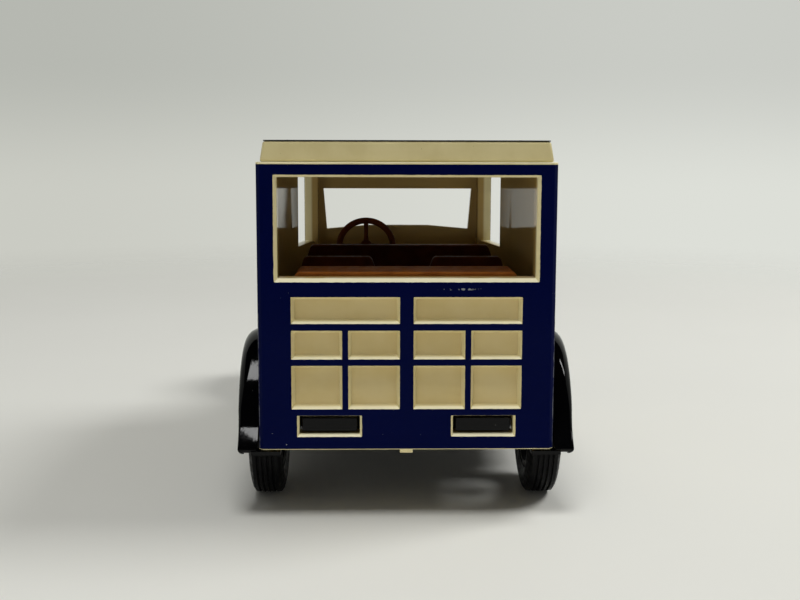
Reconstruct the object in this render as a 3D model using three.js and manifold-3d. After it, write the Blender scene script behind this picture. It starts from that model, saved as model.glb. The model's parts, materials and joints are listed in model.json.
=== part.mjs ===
// A die-cast model delivery van of about 1:40 scale, in millimetres, +Z up and +Y towards its bonnet.
// It stands on its tyres at Z = 0, with the origin under the middle of its length and width.
// "Station" means the distance forward from the face of the rear panel.
import * as THREE from "three";
import { mergeVertices } from "three/addons/utils/BufferGeometryUtils.js";
import Module from "manifold-3d";

const wasm = await Module();
wasm.setup();

// Running gear
const rearOverhang = 13;
const wheelbase = 66;
const frontOverhang = 16;
const tyreRadius = 9.5;
const tyreWidth = 4.3;
const wheelInset = 0.3;
const tyreBeadRadius = 6.4;
const tyreShoulder = 0.8;
const treadGrooveDepth = 0.35;
const treadGrooveWidth = 0.5;
const treadGrooves = 2;
const rimWidth = 3.4;
const rimThickness = 0.9;
const hubRadius = 1.8;
const hubLength = 2.8;
const spokeCount = 12;
const spokeThickness = 0.55;
const hubCapRadius = 1.5;
const hubCapHeight = 0.7;
// Shares of a hub cap's height and radius along its dome
const hubCapCurve = [[0.6, 0.9], [1, 0.45]];
const axleRadius = 1;
const axleRunningGap = 0.08;
const pressGap = 0.04;

// Body shell
const bodyHalfWidth = 18;
const bodyBottom = 8.8;
const bodyTop = 43.72;
const rearCorner = 0.5;
const straightSide = 37.5;
const cabinLength = 58.4;
const cabinTaper = 3.4;
const sideWall = 1.4;
const rearWall = 3;
const frontWall = 1.4;
const rearLugWidth = 1.6;
const rearLugHeight = 0.55;
const rearLugDepth = 1.4;

// Rear window, the two tongue slots and the sunk panels of the rear face
const windowHalfWidth = 16.03;
const windowSill = 29.33;
const windowHead = 42.25;
const windowBevel = 0.48;
const windowHeadBevel = 0.32;
const slotInner = 5.37;
const slotOuter = 13.38;
const slotBottom = 10.33;
const slotTop = 13.05;
const slotBevel = 0.33;
const slotTopBevel = 0.1;
const panelEdge = 13.98;
const panelCentreRail = 1.63;
const panelSideRail = 0.7;
const panelSplit = 7.45;
const panelSink = 1.2;
const panelDraft = 0.4;
const topRow = [24.33, 27.6];
const middleRow = [19.98, 23.52];
const bottomRow = [13.82, 19.22];

// Cab openings and the sunk panels of the sides
const doorWidth = 11;
const doorSetback = 4.4;
const doorSill = 29.7;
const doorHead = 41.4;
const doorLineWidth = 0.3;
const doorLineDepth = 0.4;
const doorFrame = 1.7;
const windscreenHalfWidth = 12.3;
const windscreenBottom = 31.4;
const windscreenTop = 38.1;
const windscreenLean = 0.55;
const windscreenArch = 0.6;
const windscreenArchHalfWidth = 5;
const frontPostWidth = 2.2;
const sidePanelSink = 0.6;
const sidePanelDraft = 0.25;
const sidePanelMargin = 3.2;
const sidePanelRail = 0.9;

// Roof
const roofInset = 0.46;
const roofLean = 0.42;
const roofRearLean = 0.1;
const roofRise = 2.46;
const roofFall = 0.45;
const roofVisor = 3.2;
const roofCoverThickness = 0.15;
const roofCoverInset = 0.05;
const roofSpigot = 0.6;

// Scuttle, bonnet and radiator
const scuttleLength = 5.4;
const scuttleTop = 32;
const scuttleShoulder = 24;
const bonnetWall = 1.2;
const bonnetRearHalfWidth = 13.2;
const bonnetRearTop = 31;
const bonnetRearShoulder = 23.4;
const bonnetFrontHalfWidth = 8.4;
const bonnetFrontTop = 28;
const bonnetFrontShoulder = 21;
const bonnetRoundness = 2.6;
const bonnetArchSteps = 12;
const louvreWidth = 0.45;
const louvreDepth = 0.45;
const louvreHeight = 6.5;
const louvreBottom = 14.8;
const louvrePitch = 1.15;
const louvreStart = 2.6;
const radiatorAhead = 5.5;
const radiatorDepth = 2.2;
const radiatorRim = 0.9;
const radiatorCoreSink = 0.5;
const radiatorCoreDepth = 1;
const radiatorCapRadius = 1;
const radiatorCapHeight = 1.5;
const radiatorCapBrim = 0.5;
const radiatorCapTopRadius = 0.4;
const radiatorNeckRadius = 0.6;
const radiatorNeckHeight = 0.6;

// Chassis, baseplate and rivets
const chassisSideGap = 3.5;
const chassisOverAxle = 0.37;
const chassisThickness = 1.7;
const chassisNoseOverhang = 7.5;
const railInset = 0.7;
const railWidth = 1;
const railEnd = 6;
const tongueRecess = 0.7;
const tongueGap = 0.3;
const baseplateThickness = 1.2;
const rivetRadius = 0.8;
const rivetHeadRadius = 1.6;
const rivetHeadTopRadius = 1;
const rivetHeadHeight = 0.6;
const rivetHeadSink = 0.1;
const rivetGap = 0.1;
const rivetOffset = 16;

// Wings and running boards
const wingSideGap = 0.3;
const wingInnerGap = 0.15;
const wingSeatGap = 0.2;
const wingSheet = 0.7;
const wingTopGap = 1.9;
const wingCrownRadius = 1.9;
const wingTailRadius = 0.5;
const wingFillet = 0.1;
const wingValance = 3.1;
const wingHem = 8.05;
const wingSteps = 24;
const wingCrownSteps = 4;
const rearWingTail = 12.8;
const rearWingWaist = 9.9;
const rearWingWaistHeight = 13;
const rearWingFront = 13.2;
// Share of the way to its corner at which a quarter of an ellipse is aimed
const quarterAim = 0.5523;
const frontWingTail = 19.5;
const frontWingTip = 11.8;
const frontWingTipHeight = 11.4;
// Shares of a front wing's tail, tip and drop at which its curves are aimed
const frontWingTailAims = [0.66, 0.54];
const frontWingTipAim = 0.6;
const frontWingDropAim = 0.4;
const boardInset = 0.4;
const boardTabWidth = 4;
const boardTabs = 3;

// Lamps and bumper
const lampOffset = 9.6;
const lampStem = 0.7;
const lampRadius = 2.9;
const lampDepth = 3.4;
const lampRim = 0.35;
const lampLensBulge = 0.6;
// Shares of depth and radius along a lamp's bowl, and of bulge and radius on its lens
const lampBowlCurve = [[0.12, 0.55], [0.45, 0.88], [0.8, 1]];
const lampLensCurve = [0.7, 0.6];
const lampGap = 0.1;
const lampBarRadius = 0.5;
const lampBarDrop = 3.9;
const bumperHalfWidth = 19;
const bumperThickness = 0.8;
const bumperBarHeight = 1.25;
const bumperGap = 1;
const bumperCentreHeight = 11.1;
const bumperSweep = 2;
const ironOffset = 8;
const ironWidth = 1.2;

// Cab fittings
const floorThickness = 0.95;
const seatSideGap = 2.35;
const seatTop = 30.15;
const seatCushionTop = 21;
const seatCorner = [0.9, 1.9];
const seatCornerBreak = 0.35;
const rearBenchStation = 4.2;
const rearBenchBack = 7;
const rearBenchCushion = 8;
const middleSeatStation = 22.6;
const middleSeatInner = 3.65;
const frontBenchSetback = 17.8;
const seatBack = 1.9;
const seatCushion = 6.4;
const steeringOffset = 5.2;
const steeringSetback = 8.4;
const steeringHeight = 29.2;
const steeringRadius = 4.8;
const steeringRim = 0.45;
const steeringSpoke = 0.63;
const steeringTilt = 24;
const steeringHubRadius = 0.9;
const columnRadius = 0.55;

// Clearance between neighbouring pieces that are not pressed together
const fitGap = 0.3;
// How far a cutting tool reaches past the material that it cuts
const overcut = 1;
// Corners closer together than this are one corner
const weldDistance = 1e-4;
const roundSegments = 32;
const middleSegments = 24;
const smallSegments = 16;

// Places that follow from the sizes above
const overallLength = rearOverhang + wheelbase + frontOverhang;
const cabinFrontHalfWidth = bodyHalfWidth - cabinTaper;
const axleHeight = tyreRadius;
const rearAxleStation = rearOverhang;
const frontAxleStation = rearOverhang + wheelbase;
const chassisBottom = axleHeight + axleRadius + axleRunningGap + chassisOverAxle;
const chassisTop = chassisBottom + chassisThickness;
const floorTop = chassisTop + floorThickness;
const baseplateTop = axleHeight - axleRadius - axleRunningGap;
const baseplateBottom = baseplateTop - baseplateThickness;
const rivetHeadBottom = baseplateBottom + rivetHeadSink;
const rivetHeadTop = rivetHeadBottom + rivetHeadHeight;
const chassisNose = frontAxleStation + chassisNoseOverhang;
const boardTop = bodyBottom - fitGap;
const boardRear = rearAxleStation + rearWingFront - wingSheet;
const boardFront = frontAxleStation - frontWingTail;
const roofTop = bodyTop + roofRise;
const scuttleStation = cabinLength + fitGap;
const bonnetStation = scuttleStation + scuttleLength + fitGap;
const radiatorFront = frontAxleStation + radiatorAhead;
const radiatorStation = radiatorFront - radiatorDepth;
const bonnetLength = radiatorStation - fitGap - bonnetStation;
const louvreCount = Math.floor((bonnetLength - 2 * louvreStart) / louvrePitch);
const doorFront = cabinLength - doorSetback;
const doorRear = doorFront - doorWidth;
const doorFrontHalfWidth =
  bodyHalfWidth - (cabinTaper * (doorFront - straightSide)) / (cabinLength - straightSide);
const wheelCentre = bodyHalfWidth - wheelInset;
const wingOuter = wheelCentre + tyreWidth / 2 + wingSideGap + wingSheet;
const wingInner = wheelCentre - tyreWidth / 2 - wingInnerGap;
const boardInner = wingInner + boardInset;
const chassisHalfWidth = bodyHalfWidth - sideWall - chassisSideGap;
const chassisNoseHalfWidth = wingInner - wingSeatGap;
const railOuter = chassisHalfWidth - railInset;
const lampStation = radiatorFront + lampGap;
const wingCrown = 2 * tyreRadius + wingTopGap + wingSheet;
const lampBarHeight = wingCrown - lampBarDrop;
const lampHeight = lampBarHeight + lampStem + lampRadius;
const throughRear = rearWall + overcut;
const seatHalfWidth = bodyHalfWidth - sideWall - seatSideGap;
const benchWidth = [-seatHalfWidth, seatHalfWidth];
const frontBenchStation = cabinLength - frontBenchSetback;
const steeringStation = cabinLength - steeringSetback;
const middleSeatWidth = [middleSeatInner, seatHalfWidth];

const navyPaint = finish("#0b1a55", 0.28, 0.1);
const creamPaint = finish("#e6dcb4", 0.35, 0);
const blackPaint = finish("#0c0c0e", 0.2, 0.1);
const roofBlack = finish("#1b1b1d", 0.85, 0);
const brownPlastic = finish("#6a3a18", 0.45, 0);
const plating = finish("#d6d6d8", 0.15, 1);
const steel = finish("#9b9b9c", 0.35, 1);
const wheelBlack = finish("#141416", 0.35, 0);
const tyreBlack = finish("#161617", 0.6, 0);
const lensGlass = finish("#e8eef2", 0.08, 0);
const coreBlack = finish("#202124", 0.6, 0.2);

const van = new THREE.Group();

function finish(color, roughness, metalness) {
  return new THREE.MeshStandardMaterial({ color, roughness, metalness });
}

function place(name, geometry, material) {
  const mesh = new THREE.Mesh(geometry, material);
  mesh.name = name;
  van.add(mesh);
  return mesh;
}

// The right-hand piece as it is and the left-hand piece as its mirror image.
function placePair(name, geometry, material) {
  place(`${name}_right`, geometry, material);
  place(`${name}_left`, geometry, material).scale.x = -1;
}

function fromRear(station) {
  return station - overallLength / 2;
}

function at(x, station, z) {
  return new THREE.Vector3(x, fromRear(station), z);
}

// Joining and cutting

function solidOf(geometry) {
  const plain = geometry.clone();
  plain.deleteAttribute("normal");
  plain.deleteAttribute("uv");
  const merged = mergeVertices(plain, weldDistance);
  return new wasm.Manifold(
    new wasm.Mesh({
      numProp: 3,
      vertProperties: new Float32Array(merged.getAttribute("position").array),
      triVerts: new Uint32Array(merged.index.array),
    }),
  );
}

function geometryOf(solid) {
  const mesh = solid.getMesh();
  const geometry = new THREE.BufferGeometry();
  geometry.setAttribute("position", new THREE.BufferAttribute(mesh.vertProperties, mesh.numProp));
  geometry.setIndex(new THREE.BufferAttribute(mesh.triVerts, 1));
  geometry.computeVertexNormals();
  return geometry;
}

function join(...pieces) {
  return geometryOf(pieces.map(solidOf).reduce((whole, piece) => whole.add(piece)));
}

function cut(piece, ...tools) {
  return geometryOf(tools.map(solidOf).reduce((whole, tool) => whole.subtract(tool), solidOf(piece)));
}

function common(first, second) {
  return geometryOf(solidOf(first).intersect(solidOf(second)));
}

// Basic forms

function box([left, right], [rear, front], [bottom, top]) {
  const geometry = new THREE.BoxGeometry(right - left, front - rear, top - bottom);
  const middle = at((left + right) / 2, (rear + front) / 2, (bottom + top) / 2);
  return geometry.translate(middle.x, middle.y, middle.z);
}

// An outline drawn in plan, with stations as its second coordinate, raised between two heights.
function raise(outline, bottom, top) {
  const geometry = new THREE.ExtrudeGeometry(outline, { depth: top - bottom, bevelEnabled: false });
  return geometry.translate(0, fromRear(0), bottom);
}

// An outline drawn in side view, station against height, stretched across the van.
function stretch(outline, left, right) {
  const geometry = new THREE.ExtrudeGeometry(outline, { depth: right - left, bevelEnabled: false });
  const turn = new THREE.Matrix4().makeBasis(
    new THREE.Vector3(0, 1, 0),
    new THREE.Vector3(0, 0, 1),
    new THREE.Vector3(1, 0, 0),
  );
  return geometry.applyMatrix4(turn).translate(left, fromRear(0), 0);
}

// An outline drawn in rear view, pushed forward between two stations.
function push(outline, rear, front) {
  const geometry = new THREE.ExtrudeGeometry(outline, { depth: front - rear, bevelEnabled: false });
  return geometry.rotateX(Math.PI / 2).translate(0, fromRear(front), 0);
}

// A turned piece about a line across the van, its profile given as [distance along X, radius].
function turnAcross(profile, segments) {
  const points = profile.map(([along, radius]) => new THREE.Vector2(radius, along));
  return facingOut(new THREE.LatheGeometry(points, segments).rotateZ(-Math.PI / 2));
}

function turnUpright(profile, segments) {
  const points = profile.map(([along, radius]) => new THREE.Vector2(radius, along));
  return facingOut(new THREE.LatheGeometry(points, segments).rotateX(Math.PI / 2));
}

function turnLengthwise(profile, segments) {
  const points = profile.map(([along, radius]) => new THREE.Vector2(radius, along));
  return facingOut(new THREE.LatheGeometry(points, segments));
}

// The profile of a plain round bar.
function barProfile(from, to, radius) {
  return [[from, 0], [from, radius], [to, radius], [to, 0]];
}

// The profile of a ring, ending where it starts.
function ringProfile(from, to, inner, outer) {
  return [[from, inner], [from, outer], [to, outer], [to, inner], [from, inner]];
}

function polygon(points) {
  return new THREE.Shape(points.map(([u, v]) => new THREE.Vector2(u, v)));
}

// The geometry with its triangles turned round if they enclose a negative volume.
function facingOut(geometry) {
  const corners = geometry.getAttribute("position");
  const index = geometry.index.array;
  const [a, b, c] = [new THREE.Vector3(), new THREE.Vector3(), new THREE.Vector3()];
  let volume = 0;
  for (let i = 0; i < index.length; i += 3) {
    a.fromBufferAttribute(corners, index[i]);
    b.fromBufferAttribute(corners, index[i + 1]);
    c.fromBufferAttribute(corners, index[i + 2]);
    volume += a.dot(b.cross(c));
  }
  if (volume < 0) {
    index.reverse();
  }
  return geometry;
}

// A closed skin over rings of equally many points. Its flat ends are filled from side to side, which
// suits a convex ring and a bent strip alike.
function loft(rings) {
  const count = rings[0].length;
  const last = (rings.length - 1) * count;
  const index = [];
  for (let ring = 0; ring < last; ring += count) {
    for (let i = 0; i < count; i += 1) {
      const here = ring + i;
      const next = ring + ((i + 1) % count);
      index.push(here, next, next + count, here, next + count, here + count);
    }
  }
  for (let i = 0, j = count - 1; i + 1 < j; i += 1, j -= 1) {
    index.push(i, j, i + 1, last + i, last + i + 1, last + j);
    if (i + 1 < j - 1) {
      index.push(i + 1, j, j - 1, last + i + 1, last + j - 1, last + j);
    }
  }
  return facingOut(new THREE.BufferGeometry().setFromPoints(rings.flat()).setIndex(index));
}

// Body shell

// The cab's outline in plan, drawn in from the outer faces by the given amounts.
function cabinOutline(side, rear, front, corner) {
  const wide = bodyHalfWidth - side;
  const narrow = cabinFrontHalfWidth - side;
  const right = [
    [wide - corner, rear],
    [wide, rear + corner],
    [wide, straightSide],
    [narrow, cabinLength - front],
  ];
  const left = right.map(([x, station]) => [-x, station]).reverse();
  return [...right, ...left];
}

// An upright wall given in plan from its rear end to its front end; outward is the way that it faces.
function uprightWall(rearEnd, frontEnd, outward) {
  const along = frontEnd.clone().sub(rearEnd).normalize();
  const up = new THREE.Vector3(0, 0, 1);
  const facing = along.clone().cross(up);
  facing.multiplyScalar(Math.sign(facing.dot(outward)));
  return {
    length: frontEnd.distanceTo(rearEnd),
    point(u, z, depth) {
      return rearEnd.clone().addScaledVector(along, u).addScaledVector(facing, -depth).setZ(z);
    },
  };
}

// A tool that sinks a rectangle into a wall, narrowing by the given amounts over the bevel's depth.
function sinkTool(wall, [u0, u1], [z0, z1], inset, headInset, bevelDepth, depth) {
  const ring = (shrink, headShrink, inward) => [
    wall.point(u0 + shrink, z0 + shrink, inward),
    wall.point(u1 - shrink, z0 + shrink, inward),
    wall.point(u1 - shrink, z1 - headShrink, inward),
    wall.point(u0 + shrink, z1 - headShrink, inward),
  ];
  const rings = [ring(0, 0, -overcut), ring(0, 0, 0), ring(inset, headInset, bevelDepth)];
  if (depth > bevelDepth) {
    rings.push(ring(inset, headInset, depth));
  }
  return loft(rings);
}

const rearFace = uprightWall(at(0, 0, 0), at(1, 0, 0), new THREE.Vector3(0, -1, 0));

function rearPanelTools() {
  const tools = [];
  const halves = [-1, 1];
  const sink = (span, row) => sinkTool(rearFace, span, row, panelDraft, panelDraft, panelSink, panelSink);
  const innerEdge = panelCentreRail / 2;
  const columns = [
    [innerEdge, panelSplit - panelSideRail / 2],
    [panelSplit + panelSideRail / 2, panelEdge],
  ];
  for (const half of halves) {
    const span = ([from, to]) => [from * half, to * half].sort((a, b) => a - b);
    tools.push(sink(span([innerEdge, panelEdge]), topRow));
    for (const column of columns) {
      tools.push(sink(span(column), middleRow));
      tools.push(sink(span(column), bottomRow));
    }
    const slotSpan = span([slotInner, slotOuter]);
    const slotRow = [slotBottom, slotTop];
    tools.push(sinkTool(rearFace, slotSpan, slotRow, slotBevel, slotTopBevel, slotBevel, throughRear));
  }
  return tools;
}

function rearWindowTool() {
  const width = [-windowHalfWidth, windowHalfWidth];
  const height = [windowSill, windowHead];
  return sinkTool(rearFace, width, height, windowBevel, windowHeadBevel, windowBevel, throughRear);
}

// The sunk panels and the door lines of one side; side is 1 for the right and -1 for the left.
function sidePanelTools(side) {
  const outward = new THREE.Vector3(side, 0, 0);
  const corner = at(side * bodyHalfWidth, straightSide, 0);
  const quarter = uprightWall(at(side * bodyHalfWidth, 0, 0), corner, outward);
  const cab = uprightWall(corner, at(side * cabinFrontHalfWidth, cabinLength, 0), outward);
  const sink = (wall, span, row) =>
    sinkTool(wall, span, row, sidePanelDraft, sidePanelDraft, sidePanelSink, sidePanelSink);
  const quarterEnd = quarter.length - sidePanelRail;
  const quarterMiddle = (sidePanelMargin + quarterEnd) / 2;
  const stretchOfCab = cab.length / (cabinLength - straightSide);
  const doorStart = (doorRear - doorFrame - straightSide) * stretchOfCab;
  const doorEnd = (doorFront + doorFrame - straightSide) * stretchOfCab;
  const doorSpan = [doorStart + sidePanelRail, doorEnd - sidePanelRail];
  const postSpan = [sidePanelRail, doorStart - sidePanelRail];
  const lowerRow = [bottomRow[0], middleRow[1]];
  const doorRow = [bottomRow[0] - sidePanelRail - doorFrame, doorHead + doorFrame / 2];
  const doorLine = (u) => {
    const span = [u - doorLineWidth / 2, u + doorLineWidth / 2];
    return sinkTool(cab, span, doorRow, 0, 0, doorLineDepth, doorLineDepth);
  };
  return [
    sink(quarter, [sidePanelMargin, quarterEnd], [windowSill, windowHead]),
    sink(quarter, [sidePanelMargin, quarterMiddle - sidePanelRail / 2], topRow),
    sink(quarter, [quarterMiddle + sidePanelRail / 2, quarterEnd], topRow),
    sink(cab, postSpan, topRow),
    sink(cab, postSpan, lowerRow),
    sink(cab, doorSpan, topRow),
    sink(cab, doorSpan, lowerRow),
    doorLine(doorStart),
    doorLine(doorEnd),
  ];
}

// The space over a rear wing, from the wing's top and its gap down past the sill.
function wheelArchTool() {
  const points = rearWingCurve()
    .getSpacedPoints(wingSteps)
    .map((point) => [point.y + overallLength / 2, point.z + fitGap]);
  const clear = points.filter(([station]) => station > rearWall + overcut);
  const first = [rearWall + fitGap, clear[0][1]];
  const last = [clear.at(-1)[0] + fitGap, clear.at(-1)[1]];
  const below = bodyBottom - overcut;
  const outline = polygon([[first[0], below], first, ...clear.slice(1), last, [last[0], below]]);
  return stretch(outline, -bodyHalfWidth - overcut, bodyHalfWidth + overcut);
}

// The windscreen seen from behind, narrower at its foot and with a sill that rises to the middle.
function windscreenOutline() {
  const foot = windscreenHalfWidth - windscreenLean;
  const right = [
    [windscreenArchHalfWidth, windscreenBottom + windscreenArch],
    [foot, windscreenBottom],
    [windscreenHalfWidth, windscreenTop],
  ];
  const left = right.map(([x, z]) => [-x, z]).reverse();
  return polygon([...right, ...left]);
}

// The post inside a front corner of the cab, which makes the wall thicker ahead of the door window.
function frontPost(side) {
  const outer = cabinFrontHalfWidth - sideWall / 2;
  const inner = doorFrontHalfWidth - frontPostWidth;
  const across = [side * inner, side * outer].sort((a, b) => a - b);
  const heights = [floorTop + fitGap, bodyTop - roofSpigot - fitGap];
  return box(across, [doorFront, cabinLength - frontWall / 2], heights);
}

function vanBody() {
  const outline = polygon(cabinOutline(0, 0, 0, rearCorner));
  outline.holes.push(polygon(cabinOutline(sideWall, rearWall, frontWall, 0)));
  const shell = raise(outline, bodyBottom, bodyTop);
  const lugWidth = [-rearLugWidth / 2, rearLugWidth / 2];
  const lugDepth = [rearCorner, rearCorner + rearLugDepth];
  const lug = box(lugWidth, lugDepth, [bodyBottom - rearLugHeight, bodyBottom + overcut]);
  const everySide = [-bodyHalfWidth - overcut, bodyHalfWidth + overcut];
  const doorWindows = box(everySide, [doorRear, doorFront], [doorSill, doorHead]);
  const throughFront = [cabinLength - frontWall - overcut, cabinLength + overcut];
  const windscreen = push(windscreenOutline(), ...throughFront);
  const chassisWidth = [-chassisHalfWidth - fitGap, chassisHalfWidth + fitGap];
  const chassisWay = box(chassisWidth, throughFront, [bodyBottom - overcut, chassisTop + fitGap]);
  return cut(
    join(shell, lug, frontPost(1), frontPost(-1)),
    rearWindowTool(),
    ...rearPanelTools(),
    ...sidePanelTools(1),
    ...sidePanelTools(-1),
    doorWindows,
    windscreen,
    chassisWay,
    wheelArchTool(),
  );
}

// Roof

// The roof's outline, drawn in from the body's sides and rear, at a height that falls to the front.
function roofRing(side, rear, z, fall) {
  const front = cabinLength + roofVisor - side;
  const point = (x, station) => at(x, station, z - (fall * station) / cabinLength);
  const wide = bodyHalfWidth - side;
  const right = [point(wide, rear), point(wide, straightSide), point(cabinFrontHalfWidth - side, front)];
  const left = right.map(({ x, y, z: height }) => new THREE.Vector3(-x, y, height)).reverse();
  return [...right, ...left];
}

function roofPanel() {
  const slab = loft([
    roofRing(roofInset, roofInset, bodyTop, 0),
    roofRing(roofInset + roofLean, roofInset + roofRearLean, roofTop, roofFall),
  ]);
  const spigotOutline = polygon(cabinOutline(sideWall + fitGap, rearWall + fitGap, frontWall + fitGap, 0));
  return join(slab, raise(spigotOutline, bodyTop - roofSpigot, bodyTop + roofRise / 2));
}

function roofCover() {
  const side = roofInset + roofLean + roofCoverInset;
  const rear = roofInset + roofRearLean + roofCoverInset;
  return loft([
    roofRing(side, rear, roofTop, roofFall),
    roofRing(side, rear, roofTop + roofCoverThickness, roofFall),
  ]);
}

// Scuttle, bonnet and radiator

// A bonnet section: upright sides under a rounded crown.
function bonnetRing(halfWidth, shoulder, crown, station, foot = chassisTop) {
  const ring = [at(halfWidth, station, foot)];
  for (let step = 0; step <= bonnetArchSteps; step += 1) {
    const angle = (Math.PI * step) / bonnetArchSteps;
    const across = Math.sign(Math.cos(angle)) * Math.abs(Math.cos(angle)) ** (2 / bonnetRoundness);
    const rise = Math.abs(Math.sin(angle)) ** (2 / bonnetRoundness);
    ring.push(at(halfWidth * across, station, shoulder + (crown - shoulder) * rise));
  }
  ring.push(at(-halfWidth, station, foot));
  return ring;
}

function scuttle() {
  return loft([
    bonnetRing(cabinFrontHalfWidth - fitGap, scuttleShoulder, scuttleTop, scuttleStation),
    bonnetRing(bonnetRearHalfWidth, bonnetRearShoulder, bonnetRearTop, scuttleStation + scuttleLength),
  ]);
}

// A value of the bonnet at a distance from its rear end, given at both ends.
function alongBonnet(rear, front, along) {
  return THREE.MathUtils.lerp(rear, front, along / bonnetLength);
}

// A run of upright slots along one side of the bonnet.
function louvreTools(side) {
  const tools = [];
  for (let i = 0; i < louvreCount; i += 1) {
    const along = louvreStart + i * louvrePitch;
    const surface = alongBonnet(bonnetRearHalfWidth, bonnetFrontHalfWidth, along);
    const station = bonnetStation + along;
    const across = [side * (surface - louvreDepth), side * (surface + overcut)].sort((a, b) => a - b);
    tools.push(box(across, [station, station + louvreWidth], [louvreBottom, louvreBottom + louvreHeight]));
  }
  return tools;
}

function bonnetSection(along, inset, foot) {
  const halfWidth = alongBonnet(bonnetRearHalfWidth, bonnetFrontHalfWidth, along) - inset;
  const shoulder = alongBonnet(bonnetRearShoulder, bonnetFrontShoulder, along);
  const crown = alongBonnet(bonnetRearTop, bonnetFrontTop, along) - inset;
  return bonnetRing(halfWidth, shoulder, crown, bonnetStation + along, foot);
}

// A casting with walls of even thickness, open underneath.
function bonnet() {
  const form = loft([bonnetSection(0, 0, chassisTop), bonnetSection(bonnetLength, 0, chassisTop)]);
  const below = chassisTop - overcut;
  const hollow = loft([
    bonnetSection(bonnetWall, bonnetWall, below),
    bonnetSection(bonnetLength - bonnetWall, bonnetWall, below),
  ]);
  return cut(form, hollow, ...louvreTools(1), ...louvreTools(-1));
}

function radiatorSection(inset, from, to) {
  const ring = (station) => {
    const halfWidth = bonnetFrontHalfWidth - inset;
    return bonnetRing(halfWidth, bonnetFrontShoulder, bonnetFrontTop - inset, station);
  };
  return loft([ring(from), ring(to)]);
}

function radiatorShell() {
  const shell = radiatorSection(0, radiatorStation, radiatorFront);
  const mouthFloor = radiatorFront - radiatorCoreSink - radiatorCoreDepth;
  const mouth = radiatorSection(radiatorRim, mouthFloor, radiatorFront + overcut);
  const threshold = box(
    [-bodyHalfWidth, bodyHalfWidth],
    [mouthFloor - overcut, radiatorFront + 2 * overcut],
    [chassisTop - overcut, chassisTop + radiatorRim],
  );
  return cut(shell, cut(mouth, threshold));
}

function radiatorCore() {
  const front = radiatorFront - radiatorCoreSink;
  const inset = radiatorRim + pressGap;
  const core = radiatorSection(inset, front - radiatorCoreDepth + pressGap, front);
  const threshold = box(
    [-bodyHalfWidth, bodyHalfWidth],
    [radiatorStation, front + overcut],
    [chassisTop - overcut, chassisTop + inset],
  );
  return cut(core, threshold);
}

function radiatorCap() {
  const cap = turnUpright(
    [
      [0, 0],
      [0, radiatorNeckRadius],
      [radiatorNeckHeight, radiatorNeckRadius],
      [radiatorNeckHeight, radiatorCapRadius],
      [radiatorNeckHeight + radiatorCapBrim, radiatorCapRadius],
      [radiatorCapHeight, radiatorCapTopRadius],
      [radiatorCapHeight, 0],
    ],
    smallSegments,
  );
  const seat = at(0, radiatorStation + radiatorDepth / 2, bonnetFrontTop);
  return cap.translate(seat.x, seat.y, seat.z);
}

// Chassis and baseplate

function axleSlotTool(station) {
  const reach = axleRadius + axleRunningGap;
  const across = [-railOuter - overcut, railOuter + overcut];
  return box(across, [station - reach, station + reach], [baseplateTop - overcut, axleHeight + reach]);
}

function rivetStations() {
  const middle = (rearAxleStation + frontAxleStation) / 2;
  return { rear_rivet: middle - rivetOffset, front_rivet: middle + rivetOffset };
}

// Round holes on the rivets' lines between two heights.
function rivetHoleTools(bottom, top, radius) {
  return Object.values(rivetStations()).map((station) => {
    const profile = barProfile(bottom, top, radius + rivetGap);
    return turnUpright(profile, smallSegments).translate(0, fromRear(station), 0);
  });
}

function chassisFrame() {
  const heights = [chassisBottom, chassisTop];
  const rear = rearWall + fitGap;
  const nose = [cabinLength + fitGap, chassisNose];
  const pieces = [
    box([-chassisHalfWidth, chassisHalfWidth], [rear, chassisNose], heights),
    box([-chassisNoseHalfWidth, chassisNoseHalfWidth], nose, heights),
  ];
  for (const side of [-1, 1]) {
    const rail = [side * (railOuter - railWidth), side * railOuter].sort((a, b) => a - b);
    const tongueInner = slotInner + slotBevel + tongueGap;
    const tongueOuter = slotOuter - slotBevel - tongueGap;
    const tongue = [side * tongueInner, side * tongueOuter].sort((a, b) => a - b);
    const tongueHeights = [slotBottom + slotBevel + tongueGap, slotTop - slotTopBevel - tongueGap];
    pieces.push(box(rail, [railEnd, chassisNose], [baseplateTop, chassisBottom + chassisThickness / 2]));
    pieces.push(box(tongue, [tongueRecess, rear + chassisThickness], tongueHeights));
  }
  return cut(
    join(...pieces),
    axleSlotTool(rearAxleStation),
    axleSlotTool(frontAxleStation),
    ...rivetHoleTools(chassisBottom - overcut, chassisTop + overcut, rivetRadius),
  );
}

function baseplate() {
  const plate = box([-railOuter, railOuter], [railEnd, chassisNose], [baseplateBottom, baseplateTop]);
  return cut(
    plate,
    ...rivetHoleTools(baseplateBottom - overcut, baseplateTop + overcut, rivetRadius),
    ...rivetHoleTools(baseplateBottom - overcut, rivetHeadTop, rivetHeadRadius),
  );
}

function rivet(station) {
  const shank = turnUpright(
    [
      [rivetHeadBottom, 0],
      [rivetHeadBottom, rivetHeadTopRadius],
      [rivetHeadBottom + rivetHeadHeight / 2, rivetHeadRadius],
      [rivetHeadTop, rivetHeadRadius],
      [rivetHeadTop, rivetRadius],
      [chassisTop, rivetRadius],
      [chassisTop, 0],
    ],
    smallSegments,
  );
  return shank.translate(0, fromRear(station), 0);
}

// Wings and running boards

function wingArc([u, v], radius) {
  const points = [];
  for (let step = 0; step <= wingCrownSteps; step += 1) {
    const angle = (Math.PI / 2) * (1 - step / wingCrownSteps);
    points.push([u + radius * Math.cos(angle), v + radius * Math.sin(angle)]);
  }
  return points;
}

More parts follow.
